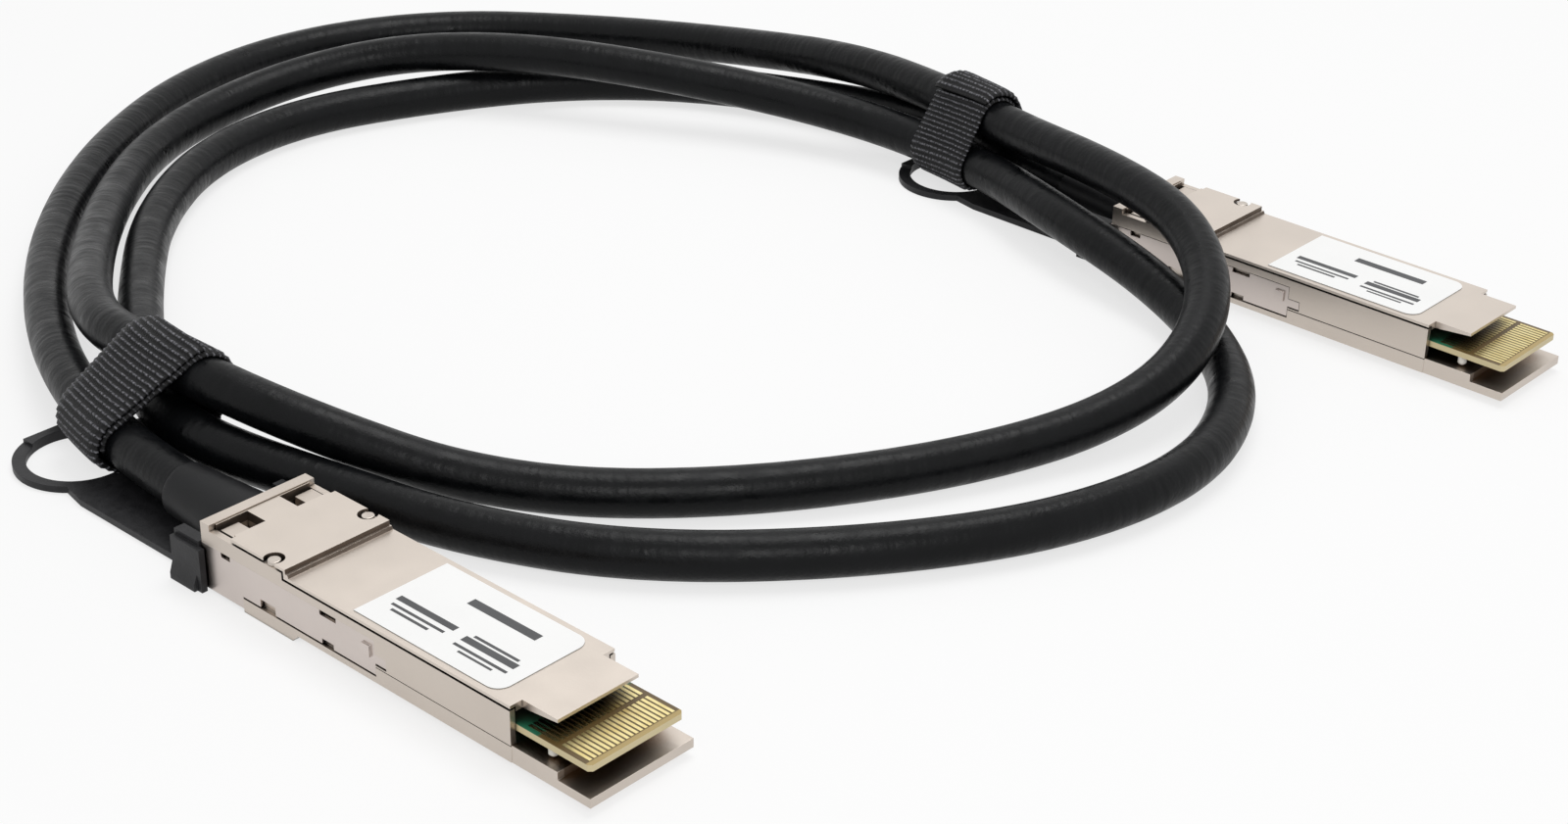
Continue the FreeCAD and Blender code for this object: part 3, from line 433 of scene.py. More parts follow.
# Cold-rolled spring strip, brighter and harder than the latch.
SPRING_STEEL = BrushedFinish("bright_spring_strip", "#A9A6A2", "#8F8C88", 0.3, metallic=1.0,
                             grain_mm=0.2, grain_height_mm=0.003)
# Heads of the cast pins, left a little dull where they were staked.
PIN_ZINC = Finish("staked_zinc_pin", "#C9C1B8", "#B9B0A7", 0.4, metallic=1.0, cloud_mm=1.5,
                  grain_mm=0.3, grain_height_mm=0.01, shade_reach_mm=0.8)
# Hard gold over nickel on the card's fingers: pale, and a little dull from wiping, with a dark
# painted shade reaching 5 mm under the lid's tongue.
GOLD_PLATE = Finish("gold_plated_finger", "#EBDDA6", "#E0CD8E", 0.32, metallic=1.0, cloud_mm=2.0,
                    grain_mm=0.2, grain_height_mm=0.002, shade_reach_mm=5.0, shade_colour="#2A1B0E")
# Satin green mask on glass laminate, with soft clouds of 6 mm from its coating, and a dark painted
# shade reaching 3.2 mm under the lid's tongue.
SOLDER_MASK = BoardFinish("solder_mask_on_laminate", "#2A7A5B", "#226A4E", 0.42, cloud_mm=6.0,
                          grain_mm=0.4, grain_height_mm=0.004, shade_reach_mm=3.2,
                          shade_colour="#1A130B")
# Natural moulded nylon with a fine tool grain.
WHITE_NYLON = Finish("moulded_white_nylon", "#F1EEE6", "#E2DED4", 0.45, grain_mm=0.3,
                     grain_height_mm=0.004)
# White polyester film, almost even, with a matt print coat.
LABEL_FILM = Finish("blank_polyester_label", "#F8F8F7", "#F5F5F4", 0.42, cloud_mm=12.0,
                    grain_mm=0.8, grain_height_mm=0.002)
# The film's cut edge is painted grey, which draws the label's outline.
LABEL_CUT = Finish("grey_label_edge", "#A5A4A1", "#8F8E8B", 0.6, cloud_mm=2.0, grain_mm=0.3,
                   grain_height_mm=0.002)
# Dark grey ribbon ink, thinner than the film's own grain.
LABEL_INK = Finish("thermal_label_ink", "#4A4B4D", "#3C3D3F", 0.5, grain_mm=0.4,
                   grain_height_mm=0.002)
# Bright brass, dulled by the crimping die.
FERRULE_BRASS = Finish("crimped_brass_ferrule", "#B9A06A", "#9C8450", 0.38, metallic=1.0,
                       grain_mm=0.4, grain_height_mm=0.008)
# Low-pressure moulded resin behind the card.
BLOCK_RESIN = Finish("moulded_black_resin_block", "#202022", "#17171A", 0.5, grain_mm=0.4,
                     grain_height_mm=0.006)
# Soft moulded rubber, smoother and blacker than the jacket.
BOOT_RUBBER = Finish("moulded_rubber_boot", "#0E0F11", "#09090B", 0.42, specular=0.2,
                     grain_mm=0.35, grain_height_mm=0.004)
# Moulded elastomer with a spark-eroded grain that breaks up the highlight.
TAB_ELASTOMER = Finish("grained_elastomer_tab", "#222224", "#141416", 0.45, specular=0.3,
                       cloud_mm=1.6, grain_mm=0.45, grain_height_mm=0.03)
# Extruded PVC, semi-gloss, with shallow creases where the cable has been bent.
JACKET_PVC = JacketFinish("extruded_pvc_jacket", "#0B0C0E", "#050607", 0.35, specular=0.155,
                          roughness_spread=0.1, cloud_mm=8.0, grain_mm=0.6,
                          grain_height_mm=0.2, space=Space.UNROLLED)
# Nylon hook-and-loop tape: thick threads and a soft nap, so almost no shine; it carries a painted
# highlight on its rib crests and a painted shade in its valleys.
STRAP_NYLON = WovenFinish("woven_hook_loop_tape", "#0D0D0F", "#040405", 0.5, specular=0.22,
                          cloud_mm=0.8, grain_mm=0.3, grain_height_mm=0.16, shade_reach_mm=0.7,
                          shade_colour="#030303", space=Space.UNROLLED)


@dataclass(frozen=True)
class SoftBox:
    """A square soft box: where it stands, its side and its power."""

    name: str
    place_mm: tuple[float, float, float]
    size_mm: float
    watts: float


@dataclass(frozen=True)
class Studio:
    """Camera, lamps and floor."""

    target_mm: tuple[float, float, float] = (14.791, 83.284, 1.2)
    distance_mm: float = 434.245
    elevation: float = 28.184
    azimuth: float = -41.995
    roll: float = 0.971
    lens: float = 64.34
    sensor: float = 36.0
    clip_end_m: float = 20.0
    floor_half_mm: float = 4000.0
    floor_colour: str = "#F6F6F6"
    world_fill: float = 0.5
    white_share: float = 0.7
    lamps: tuple[SoftBox, ...] = (SoftBox("overhead_soft_box", (-60, 260, 700), 420, 2.3),
                                  SoftBox("front_soft_box", (420, -260, 420), 240, 0.9))

    def camera(self) -> None:
        """Set up the camera at its real viewing angle."""
        rise, turn, lean = (math.radians(angle)
                            for angle in (self.elevation, self.azimuth, self.roll))
        forward = Vector((math.sin(turn) * math.cos(rise), math.cos(turn) * math.cos(rise),
                          -math.sin(rise)))
        level = Vector((math.cos(turn), -math.sin(turn), 0))
        upright = level.cross(forward)
        right = level * math.cos(lean) + upright * math.sin(lean)
        up = upright * math.cos(lean) - level * math.sin(lean)
        data = bpy.data.cameras.new("studio_camera")
        data.lens = self.lens
        data.sensor_width = self.sensor
        data.sensor_fit = "HORIZONTAL"
        data.clip_end = self.clip_end_m
        camera = add_object("studio_camera", data)
        place = (Vector(self.target_mm) - forward * self.distance_mm) * MM
        camera.matrix_world = Matrix.Translation(place) @ Matrix(
            (right, up, -forward)).transposed().to_4x4()
        bpy.context.scene.camera = camera

    def light(self, box: SoftBox) -> None:
        """Add a lamp that faces the middle of the coil.

        Args:
            box: the lamp's place, size and power.
        """
        data = bpy.data.lights.new(box.name, "AREA")
        data.shape = "SQUARE"
        data.size = box.size_mm * MM
        data.energy = box.watts
        lamp = add_object(box.name, data)
        place = Vector(box.place_mm) * MM
        aim = Vector(self.target_mm) * MM - place
        facing = aim.to_track_quat("-Z", "Y").to_matrix().to_4x4()
        lamp.matrix_world = Matrix.Translation(place) @ facing

    def background(self, tree: bpy.types.NodeTree) -> Output:
        """Add the test for rays that should meet plain white: seen, mirrored or passed through.

        Args:
            tree: the node tree of the world or the floor.

        Returns:
            One for such a ray, and nought for the rest.
        """
        path = add_node(tree, "ShaderNodeLightPath")
        shown = add_node(tree, "ShaderNodeMath", links={
            0: (path, "Is Camera Ray"), 1: (path, "Is Glossy Ray")}, operation="ADD")
        through = add_node(tree, "ShaderNodeMath", links={
            0: (shown, "Value"), 1: (path, "Is Transmission Ray")}, operation="ADD",
            use_clamp=True)
        return through, "Value"

    def world(self) -> None:
        """Light all round: plain white where it is seen, a softer fill on what it lights."""
        world = bpy.data.worlds.new("white_room")
        bpy.context.scene.world = world
        tree = empty_tree(world)
        strength = add_node(tree, "ShaderNodeMapRange",
                            {"To Min": self.world_fill, "To Max": 1.0},
                            {"Value": self.background(tree)})
        sky = add_node(tree, "ShaderNodeBackground", {"Color": (1, 1, 1, 1)},
                       {"Strength": (strength, "Result")})
        add_node(tree, "ShaderNodeOutputWorld", links={"Surface": (sky, "Background")})

    def floor(self) -> None:
        """Lay the white table, bright enough to meet the background without a line."""
        half = self.floor_half_mm * MM
        mesh = bpy.data.meshes.new("white_table")
        mesh.from_pydata([(-half, -half, 0), (half, -half, 0), (half, half, 0), (-half, half, 0)],
                         [], [(0, 1, 2, 3)])
        table = add_object("white_table", mesh)
        material = bpy.data.materials.new("white_laminate_table")
        tree = empty_tree(material)
        share = add_node(tree, "ShaderNodeMath", {1: self.white_share},
                         {0: self.background(tree)}, operation="MULTIPLY")
        matt = add_node(tree, "ShaderNodeBsdfDiffuse", {"Color": linear(self.floor_colour)})
        white = add_node(tree, "ShaderNodeEmission", {"Color": (1, 1, 1, 1), "Strength": 1.0})
        mix = add_node(tree, "ShaderNodeMixShader", links={
            0: (share, "Value"), 1: (matt, "BSDF"), 2: (white, "Emission")})
        add_node(tree, "ShaderNodeOutputMaterial", links={"Surface": (mix, "Shader")})
        mesh.materials.append(material)

    def build(self) -> None:
        """Set up everything that isn't part of the object."""
        bpy.context.scene.view_settings.view_transform = "Standard"
        self.camera()
        self.world()
        self.floor()
        for box in self.lamps:
            self.light(box)


def link_piece(name: str, mesh: bpy.types.Mesh, finish: Finish, body: str) -> bpy.types.Object:
    """Make a piece of a mesh, give it its finish and let it ride on a body.

    Args:
        name: the piece's name.
        mesh: its mesh, in metres in the shared frame.
        finish: its only finish.
        body: the body that carries it.

    Returns:
        The new piece.
    """
    piece = add_object(name, mesh)
    mesh.materials.clear()
    mesh.materials.append(finish.make())
    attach(piece, body)
    return piece


def grid_mesh(name: str, grid: Grid, unrolled: FlatGrid, closed: bool) -> bpy.types.Mesh:
    """Skin rows of points.

    Args:
        name: the mesh's name.
        grid: rows of points, all of one length, in metres.
        unrolled: the same rows laid flat, in metres; one more column where the rows are closed.
        closed: whether each row's last point joins its first.

    Returns:
        A smooth mesh, with its flat layout as UV.
    """
    columns = len(grid[0])
    vertices = [point for row in grid for point in row]
    faces = []
    layout = []
    spans = columns if closed else columns - 1
    for row in range(len(grid) - 1):
        for column in range(spans):
            following = (column + 1) % columns
            faces.append((row * columns + column, row * columns + following,
                          (row + 1) * columns + following, (row + 1) * columns + column))
            layout += [unrolled[row][column], unrolled[row][column + 1],
                       unrolled[row + 1][column + 1], unrolled[row + 1][column]]
    mesh = bpy.data.meshes.new(name)
    mesh.from_pydata(vertices, [], faces)
    flat = mesh.uv_layers.new(name="unrolled")
    for loop, place in zip(flat.data, layout):
        loop.uv = place
    mesh.polygons.foreach_set("use_smooth", [True] * len(mesh.polygons))
    return mesh


@dataclass(frozen=True)
class RoundCable:
    """The jacket, on one spline through listed points from plug A to plug B."""

    diameter_mm: float = 7.35
    sides: int = 32
    steps_per_point: int = 14
    exit_mm: tuple[float, float, float] = (-9.6, 0.0, 5.9)
    length_mm: float = 1532.0
    route_mm: tuple[tuple[float, float, float], ...] = (
        (-9.6, 0, 5.9), (-31, 0, 5.9), (-56, 4, 6.9), (-84, 16.5, 5.6), (-115, 38.5, 3.8),
        (-139.5, 66, 3.7), (-155.5, 97, 3.7), (-157.5, 127, 3.7), (-145, 154.5, 3.7),
        (-118, 173, 4.6), (-86, 181.5, 8), (-55, 180.6, 13.2), (-29, 175.6, 15),
        (-7.5, 170.2, 15.4), (13, 165, 17), (31, 159.4, 17.2), (41.5, 153.9, 15.4),
        (50.4, 145.2, 12.9), (56.2, 134, 10.2), (58.2, 121.5, 7.4), (56, 108.2, 5.2),
        (50.8, 94.5, 3.9), (43, 77.5, 3.7), (30.5, 58, 3.7), (14.5, 41, 3.8), (-1, 29.8, 5.4),
        (-14, 21, 9.9), (-29, 14.8, 13.4), (-48, 12.6, 14.7), (-69, 15.2, 13), (-94.5, 33, 8.8),
        (-117.8, 53.6, 5.5), (-133, 72.8, 4.7), (-139.5, 92.5, 5.2), (-137.3, 111.5, 7.4),
        (-127, 127.5, 10.2), (-110.5, 139.5, 11.9), (-89, 150.5, 11.9), (-62, 165.2, 9),
        (-37, 172.2, 6.9), (-13, 168.2, 7.2), (11, 158.2, 8.7), (33, 153.6, 6.4),
        (52, 145.6, 4), (67, 130.5, 3.7), (74.5, 108, 3.7), (69.5, 82, 3.7), (54, 56.5, 3.7),
        (32, 33.5, 3.7), (8, 21.5, 3.8), (-12, 16.2, 4.7), (-29, 10.6, 6.3), (-41, 10, 6.8),
        (-52.5, 13.5, 6.8), (-67, 22.8, 6.2), (-88, 37.8, 4.4), (-109, 55.5, 3.7),
        (-124.5, 78, 3.7), (-128, 103, 3.7), (-119, 128, 3.7), (-106, 151, 3.7),
        (-87, 168.5, 3.7), (-60, 178.8, 4.4), (-32, 181.3, 7.6), (-6, 173.4, 5.9),
        (16.7, 173.4, 5.9),
    )

    def line(self) -> list[Vector]:
        """Read the points of the smooth line that the spline makes of the route.

        Returns:
            The points, from plug A to plug B, in metres.
        """
        data = bpy.data.curves.new("cable_line", "CURVE")
        data.dimensions = "3D"
        spline = data.splines.new("NURBS")
        spline.points.add(len(self.route_mm) - 1)
        for point, place in zip(spline.points, self.route_mm):
            point.co = (*(value * MM for value in place), 1.0)
        spline.order_u = 3
        spline.use_endpoint_u = True
        spline.resolution_u = self.steps_per_point
        holder = add_object("cable_line", data)
        mesh = bpy.data.meshes.new_from_object(holder)
        points = [vertex.co.copy() for vertex in mesh.vertices]
        bpy.data.objects.remove(holder)
        bpy.data.meshes.remove(mesh)
        return points

    def skin(self, line: list[Vector]) -> bpy.types.Mesh:
        """Sweep a ring along the line without letting it twist.

        Args:
            line: the points that the cable's middle follows.

        Returns:
            The jacket's mesh, closed at both ends.
        """
        radius = self.diameter_mm * MM / 2
        side = Vector((0, 1, 0))
        travelled = 0.0
        grid: Grid = []
        flat = []
        for index, point in enumerate(line):
            before = line[max(index - 1, 0)]
            after = line[min(index + 1, len(line) - 1)]
            heading = (after - before).normalized()
            side = (side - heading * side.dot(heading)).normalized()
            lift = heading.cross(side)
            travelled += (point - before).length
            angles = [math.tau * step / self.sides for step in range(self.sides)]
            grid.append([point + (side * math.cos(angle) + lift * math.sin(angle)) * radius
                         for angle in angles])
            flat.append([(travelled, radius * math.tau * step / self.sides)
                         for step in range(self.sides + 1)])
        mesh = grid_mesh("cable_jacket", grid, flat, True)
        cap_ends(mesh)
        return mesh

    def build(self) -> tuple[bpy.types.Object, list[Vector]]:
        """Build the jacket.

        Returns:
            The jacket, and the points of its middle line.
        """
        line = self.line()
        jacket = link_piece("cable_jacket", self.skin(line), JACKET_PVC, ROOT_BODY)
        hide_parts("cable")
        LOG.info("jacket: %d points along its line", len(line))
        return jacket, line


def cap_ends(mesh: bpy.types.Mesh) -> None:
    """Close every open rim of a mesh with one face.

    Args:
        mesh: the mesh, changed in place.
    """
    shape = bmesh.new()
    shape.from_mesh(mesh)
    rims = [edge for edge in shape.edges if edge.is_boundary]
    bmesh.ops.holes_fill(shape, edges=rims, sides=0)
    bmesh.ops.recalc_face_normals(shape, faces=shape.faces)
    shape.to_mesh(mesh)
    shape.free()


@dataclass(frozen=True)
class HookLoopStrap:
    """A tape wound round the strands, with its free end lapped over the first turn."""

    node: str
    centre_mm: tuple[float, float]
    heading: float
    width_mm: float = 14.0
    thickness_mm: float = 1.05
    gap_mm: float = 0.12
    rib_pitch_mm: float = 0.9
    rib_height_mm: float = 0.42
    steps_per_rib: int = 4
    stations: int = 15
    draft_steps: int = 400
    lap_turn: float = 0.36
    lap_climb: float = 0.07
    edge_mm: float = 1.1
    edge_fullness: float = 0.45
    reach_mm: float = 26.0

    def axes(self) -> tuple[Vector, Vector]:
        """Work out the directions along the strands and across them, both level."""
        turn = math.radians(self.heading)
        along = Vector((math.cos(turn), math.sin(turn), 0))
        return along, Vector((-along.y, along.x, 0))

    def strands(self, line: list[Vector], offset_mm: float) -> list[tuple[float, float]]:
        """Find where the strands pass one upright plane across them.

        Args:
            line: the points of the cable's middle line.
            offset_mm: how far the plane is from the strap's middle, along the strands.

        Returns:
            Places across the strap and above the floor, in millimetres.
        """
        along, across = self.axes()
        origin = Vector((*self.centre_mm, 0)) + along * offset_mm
        found = []
        for first, second in zip(line, line[1:]):
            ends = [(point / MM - origin).dot(along) for point in (first, second)]
            if ends[0] * ends[1] > 0 or ends[0] == ends[1]:
                continue
            point = first.lerp(second, ends[0] / (ends[0] - ends[1])) / MM
            place = (point - origin).dot(across)
            if abs(place) < self.reach_mm:
                found.append((place, point.z))
        return found

    def outline(self, strands: list[tuple[float, float]], reach: float,
                count: int) -> list[tuple[float, float, float, float]]:
        """Go once round the strands at one distance, in even steps.

        Args:
            strands: the strands' middles.
            reach: the distance from them.
            count: how many steps make one turn.

        Returns:
            For each step its place and its outward direction, in millimetres.
        """
        loop = []
        for degree in range(361):
            angle = math.radians(degree)
            out = (math.cos(angle), math.sin(angle))
            best = max(strands, key=lambda strand: strand[0] * out[0] + strand[1] * out[1])
            loop.append((best[0] + out[0] * reach, best[1] + out[1] * reach, *out))
        travelled = [0.0]
        for first, second in zip(loop, loop[1:]):
            travelled.append(travelled[-1] + math.dist(first[:2], second[:2]))
        even = []
        place = 0
        for step in range(count + 1):
            wanted = travelled[-1] * step / count
            while place < len(loop) - 2 and travelled[place + 1] < wanted:
                place += 1
            stretch = max(travelled[place + 1] - travelled[place], 1e-9)
            share = (wanted - travelled[place]) / stretch
            even.append(tuple(first + (second - first) * share
                              for first, second in zip(loop[place], loop[place + 1])))
        return even

    def rows(self, line: list[Vector], share: float, reach: float, count: int,
             total: int) -> tuple[list[Vector], list[Vector]]:
        """Lay one row of points along the tape's outer face, and one along its inner face.

        Args:
            line: the points of the cable's middle line.
            share: the row's place across the tape, from nought to one.
            reach: how far the first layer lies from the strands' middles.
            count: how many steps make one turn.
            total: how many steps the whole tape has.

        Returns:
            The outer row and the inner row, in metres.
        """
        along, across = self.axes()
        offset = (share - 0.5) * self.width_mm
        base = Vector((*self.centre_mm, 0)) + along * offset
        strands = self.strands(line, offset)
        layers = [self.outline(strands, reach + self.thickness_mm * layer, count)
                  for layer in range(2)]
        edge = min(share, 1 - share) * self.width_mm
        fullness = min(1.0, self.edge_fullness + edge / self.edge_mm * (1 - self.edge_fullness))
        outer, inner = [], []
        for step in range(total + 1):
            lapped = smooth_step((step - count * (1 - self.lap_climb)) / (count * self.lap_climb))
            low, high = (layer[step % count] for layer in layers)
            side, height, out_side, out_height = (
                first + (second - first) * lapped for first, second in zip(low, high))
            wave = 0.5 - 0.5 * math.cos(math.tau * step / self.steps_per_rib)
            rise = (self.thickness_mm - self.rib_height_mm * (1 - wave)) * fullness
            for row, depth in ((outer, rise), (inner, 0.0)):
                row.append((base + across * (side + out_side * depth)
                            + Vector((0, 0, height + out_height * depth))) * MM)
        return outer, inner

    def build(self, line: list[Vector], diameter_mm: float) -> bpy.types.Object:
        """Wind the tape.

        Args:
            line: the points of the cable's middle line.
            diameter_mm: the cable's thickness.

        Returns:
            The strap.
        """
        reach = diameter_mm / 2 + self.gap_mm
        middle = self.outline(self.strands(line, 0.0), reach, self.draft_steps)
        around = sum(math.dist(first[:2], second[:2]) for first, second in zip(middle, middle[1:]))
        ribs = round(around / self.rib_pitch_mm)
        count = ribs * self.steps_per_rib
        total = count + round(count * self.lap_turn)
        shares = [station / (self.stations - 1) for station in range(self.stations)]
        outer, inner = zip(*(self.rows(line, share, reach, count, total) for share in shares))
        step_m = self.rib_pitch_mm * MM / self.steps_per_rib
        flat = [[(step_m * step, (share - 0.5) * self.width_mm * MM)
                 for step in range(total + 1)] for share in shares]
        name = f"{self.node}_tape"
        strap = link_piece(name, closed_band(name, list(outer), list(inner), flat),
                           STRAP_NYLON, ROOT_BODY)
        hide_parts(self.node)
        LOG.info("%s: %d ribs round the strands, %.1f mm once round", self.node, ribs, around)
        return strap


def smooth_step(share: float) -> float:
    """Ease from nought to one, and stay within them."""
    bounded = min(max(share, 0.0), 1.0)
    return bounded * bounded * (3 - 2 * bounded)


def closed_band(name: str, outer: Grid, inner: Grid, flat: FlatGrid) -> bpy.types.Mesh:
    """Join an outer and an inner skin round their common border.

    Args:
        name: the mesh's name.
        outer: rows of the outer skin.
        inner: rows of the inner skin, point for point under the outer one.
        flat: the rows laid flat, in metres.

    Returns:
        The closed mesh.
    """
    mesh = grid_mesh(name, outer + inner[::-1] + outer[:1],
                     flat + flat[::-1] + flat[:1], False)
    shape = bmesh.new()
    shape.from_mesh(mesh)
    bmesh.ops.remove_doubles(shape, verts=shape.verts, dist=WELD_M)
    shape.to_mesh(mesh)
    shape.free()
    cap_ends(mesh)
    return mesh


def rounded_copy(node: str, name: str, finish: Finish, body: str, edge_mm: float,
                 ) -> bpy.types.Object:
    """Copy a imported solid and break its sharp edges.

    Args:
        node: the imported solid's name.
        name: the new piece's name.
        finish: the piece's finish.
        body: the body that carries it.
        edge_mm: how much of each edge is rounded away.

    Returns:
        The rounded piece, which stands for the solid.
    """
    source = bpy.data.objects[node]
    shape = bmesh.new()
    shape.from_mesh(source.data)
    bmesh.ops.remove_doubles(shape, verts=shape.verts, dist=SAME_POINT_M)
    bmesh.ops.dissolve_limit(shape, angle_limit=math.radians(FLAT_DEGREES), verts=shape.verts,
                             edges=shape.edges)
    mesh = mesh_of(shape, name)
    draft = add_object(f"{name}_draft", mesh)
    mesh.polygons.foreach_set("use_smooth", [True] * len(mesh.polygons))
    rounding = draft.modifiers.new("broken_edges", "BEVEL")
    rounding.width = edge_mm * MM
    rounding.segments = EDGE_SEGMENTS
    rounding.limit_method = "ANGLE"
    rounding.angle_limit = math.radians(SHARP_DEGREES)
    rounding.use_clamp_overlap = True
    weights = draft.modifiers.new("even_shading", "WEIGHTED_NORMAL")
    weights.keep_sharp = True
    bpy.context.view_layer.update()
    ready = bpy.data.meshes.new_from_object(
        draft.evaluated_get(bpy.context.evaluated_depsgraph_get()))
    ready.name = name
    bpy.data.objects.remove(draft)
    bpy.data.meshes.remove(mesh)
    piece = link_piece(name, ready, finish, body)
    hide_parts(node)
    return piece


class Side(Enum):
    """The two ends of the cable, by the ending of their nodes."""

    NEAR = "a"
    FAR = "b"


@dataclass(frozen=True)
class Plug:
    """One pluggable shell with its latch, tab, card and label.

    Places are in the plug's own millimetres: ridge, window, mouth and spring from rear to
    front, then how far out and how high; each rule from start to end, then middle and height.
    """

    side: Side
    origin_mm: tuple[float, float]
    label_top_mm: float = 9.8
    ink_mm: float = 0.02
    ridge_mm: tuple[float, float] = (8.9, 9.95)
    window_mm: tuple[float, float, float] = (-7.1, -2.7, 2.6)
    pin_mm: tuple[float, float] = (5.7, 8.125)
    ring_mm: float = 1.6
    plate_half_mm: float = 9.05
    mouth_mm: tuple[float, float, float] = (40.0, 8.6, 2.5)
    step_mm: tuple[float, float, float, float, float] = (53.3, 61.38, 8.0, 2.55, 3.78)
    spring_mm: tuple[float, float] = (10.0, 16.4)
    travel_mm: float = 2.5
    flat_up: float = 0.9
    ridge_front: float = 0.3
    rules_mm: tuple[tuple[float, float, float, float], ...] = (
        (31.5, 44.5, 3.9, 1.5), (23.9, 35.2, -2.0, 1.1), (24.4, 34.6, -3.6, 0.5),
        (25.4, 32.6, -4.6, 0.5), (38.2, 46.6, -1.5, 0.5), (37.4, 47.4, -2.7, 1.2),
        (37.4, 47.4, -4.4, 0.5), (39.2, 45.6, -5.3, 0.4))

    def dress(self) -> list[bpy.types.Object]:
        """Dress every solid of the plug.

        Returns:
            The pieces that lie along the cable.
        """
        end = self.side.value
        slide = f"latch_slide_{end}"
        rounded = (
            ("lower_tray", SHELL_ZINC, ROOT_BODY, 0.14, "zinc_shell"),
            ("side_frame", SHELL_ZINC, ROOT_BODY, 0.1, "zinc_shell"),
            ("top_cover", LID_ZINC, ROOT_BODY, 0.12, "zinc_shell"),
            ("cover_pins", PIN_ZINC, ROOT_BODY, 0.15, "pin_metal"),
            ("latch_bracket", LATCH_STEEL, slide, 0.06, "latch_steel"),
            ("pull_tab", TAB_ELASTOMER, slide, 0.12, "tab_plastic"),
            ("paddle_card", self.board(), ROOT_BODY, 0.04, "circuit_board"),
            ("strain_relief", BOOT_RUBBER, ROOT_BODY, 0.3, "boot_rubber"),
        )
        pieces = {}
        for node, finish, body, edge, slot in rounded:
            piece = rounded_copy(f"{node}_{end}", f"{node}_{end}_rounded", finish, body, edge)
            pieces[node] = piece
        self.painted_shade_cut_edges(pieces["top_cover"])
        # The faces that line the mouth take the finish with the deeper painted shade.
        for node in ("lower_tray", "side_frame"):
            self.recolour(pieces[node], MOUTH_ZINC_SHADED, self.in_mouth)
        self.floor_step()
        plain = {"contact_pads": GOLD_PLATE, "card_peg": WHITE_NYLON, "label": LABEL_FILM,
                 "crimp_ferrule": FERRULE_BRASS, "wire_block": BLOCK_RESIN,
                 "return_springs": SPRING_STEEL}
        for node, finish in plain.items():
            solid = bpy.data.objects[f"{node}_{end}"]
            solid.data.materials.clear()
            solid.data.materials.append(finish.make())
        self.squeeze_springs()
        self.recolour(bpy.data.objects[f"label_{end}"], LABEL_CUT,
                      lambda centre, normal: abs(normal.z) < FACING)
        self.print_label()
        LOG.info("plug %s: %d rounded pieces", end, len(pieces))
        return [pieces["strain_relief"]]

    def board(self) -> BoardFinish:
        """Make the card's finish, with its colour zones at this plug's place."""
        shift = self.origin_mm[0]
        return replace(SOLDER_MASK, name=f"{SOLDER_MASK.name}_{self.side.value}",
                       mask_end_mm=SOLDER_MASK.mask_end_mm + shift,
                       fingers_end_mm=SOLDER_MASK.fingers_end_mm + shift,
                       zone_low_mm=SOLDER_MASK.zone_low_mm + shift,
                       zone_high_mm=SOLDER_MASK.zone_high_mm + shift)

    def recolour(self, piece: bpy.types.Object, finish: Finish,
                 chosen: Callable[[Vector, Vector], bool]) -> None:
        """Give some faces of a piece a second finish.

        Args:
            piece: the piece.
            finish: the second finish.
            chosen: says of a face's middle, in the plug's own millimetres, and its direction
                whether the face takes the second finish.
        """
        piece.data.materials.append(finish.make())
        second = len(piece.data.materials) - 1
        origin = Vector((*self.origin_mm, 0))
        for face in piece.data.polygons:
            if chosen(face.center / MM - origin, face.normal):
                face.material_index = second

    def in_mouth(self, centre: Vector, normal: Vector) -> bool:
        """Say whether a face lines the open front of the plug.

        Args:
            centre: the face's middle, in the plug's own millimetres.
            normal: its direction.

        Returns:
            Whether it does.
        """
        start, half, low = self.mouth_mm
        return centre.x > start and abs(centre.y) < half and centre.z > low and (
            abs(normal.y) > FACING or normal.z > FACING)

    def painted_shade_cut_edges(self, lid: bpy.types.Object) -> None:
        """Paint shade on the lid's cut edges: the ridge's two steps, the windows and the pin
        rings.
        """
        def cut(centre: Vector, normal: Vector) -> bool:
            """Say whether a face is one of the lid's cut edges."""
            if abs(normal.z) > self.flat_up:
                return False
            ridge = (self.ridge_mm[0] < centre.x < self.ridge_mm[1]
                     and normal.x > self.ridge_front)
            window = (self.window_mm[0] < centre.x < self.window_mm[1]
                      and abs(centre.y) > self.window_mm[2])
            ring = math.dist((centre.x, abs(centre.y)), self.pin_mm) < self.ring_mm
            return (ridge or window or ring) and abs(centre.y) < self.plate_half_mm

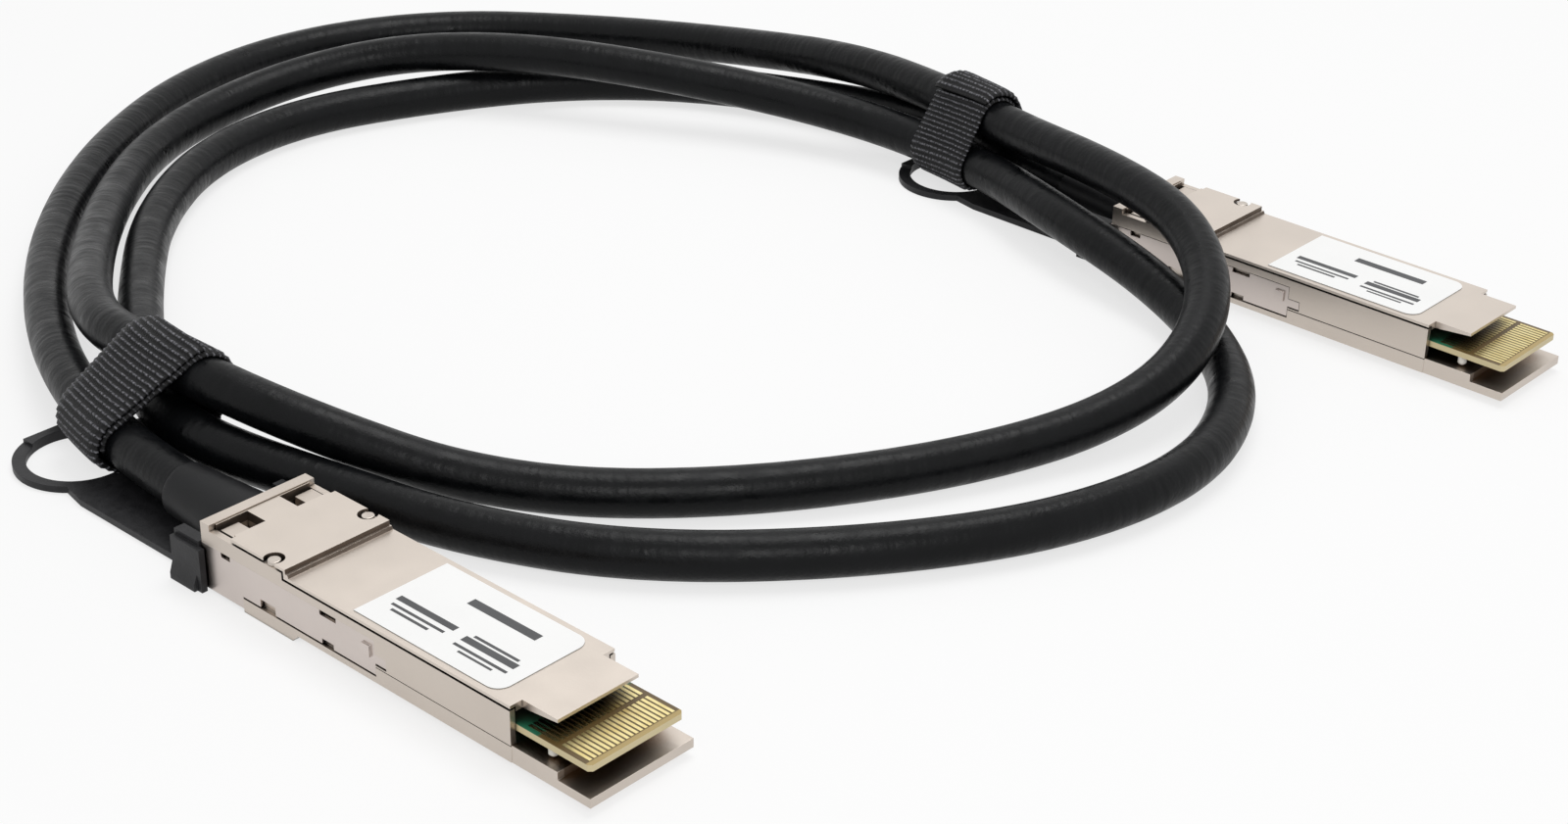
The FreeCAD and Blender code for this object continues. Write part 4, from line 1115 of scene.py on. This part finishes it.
        self.recolour(lid, LID_EDGE_SHADE, cut)

    def squeeze_springs(self) -> None:
        """Give the return springs a mesh of their own."""
        end = self.side.value
        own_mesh(bpy.data.objects[f"return_springs_{end}"])

    def add_slab(self, shape: bmesh.types.BMesh, low: Vector, high: Vector) -> None:
        """Add a box to a shape.

        Args:
            shape: the shape that the box joins.
            low: its lowest corner, in the plug's own millimetres.
            high: its highest corner.
        """
        middle = (low + high) / 2 + Vector((*self.origin_mm, 0))
        size = Matrix.Diagonal((*(high - low), 1))
        bmesh.ops.create_cube(
            shape, size=1.0, matrix=Matrix.Scale(MM, 4) @ Matrix.Translation(middle) @ size)

    def floor_step(self) -> None:
        """Raise the floor of the mouth between the two rails, up to where the rails end, in the
        mouth's finish with its painted shade.
        """
        start, end, half, low, high = self.step_mm
        shape = bmesh.new()
        self.add_slab(shape, Vector((start, -half, low)), Vector((end, half, high)))
        name = f"mouth_step_{self.side.value}"
        step = link_piece(name, mesh_of(shape, name), MOUTH_ZINC_SHADED, ROOT_BODY)

    def print_label(self) -> None:
        """Lay plain rules on the label, as thin slabs of ink."""
        shape = bmesh.new()
        for start, end, middle, height in self.rules_mm:
            self.add_slab(shape, Vector((start, middle - height / 2, self.label_top_mm)),
                          Vector((end, middle + height / 2, self.label_top_mm + self.ink_mm)))
        name = f"label_rules_{self.side.value}"
        ink = link_piece(name, mesh_of(shape, name), LABEL_INK, ROOT_BODY)


def main() -> None:
    """Load the frame, and build the studio and the object."""
    logging.basicConfig(level=logging.INFO, format="%(message)s")
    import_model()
    Studio().build()
    cable = RoundCable()
    jacket, line = cable.build()
    straps = [HookLoopStrap("hook_loop_strap_a", (-47.5, 2.1), 164.3),
              HookLoopStrap("hook_loop_strap_b", (-21.5, 172.5), -14.5)]
    on_cable = [strap.build(line, cable.diameter_mm) for strap in straps]
    for plug in (Plug(Side.NEAR, (0.0, 0.0)), Plug(Side.FAR, (26.3, 173.4))):
        on_cable += plug.dress()


if __name__ == "__main__":
    main()
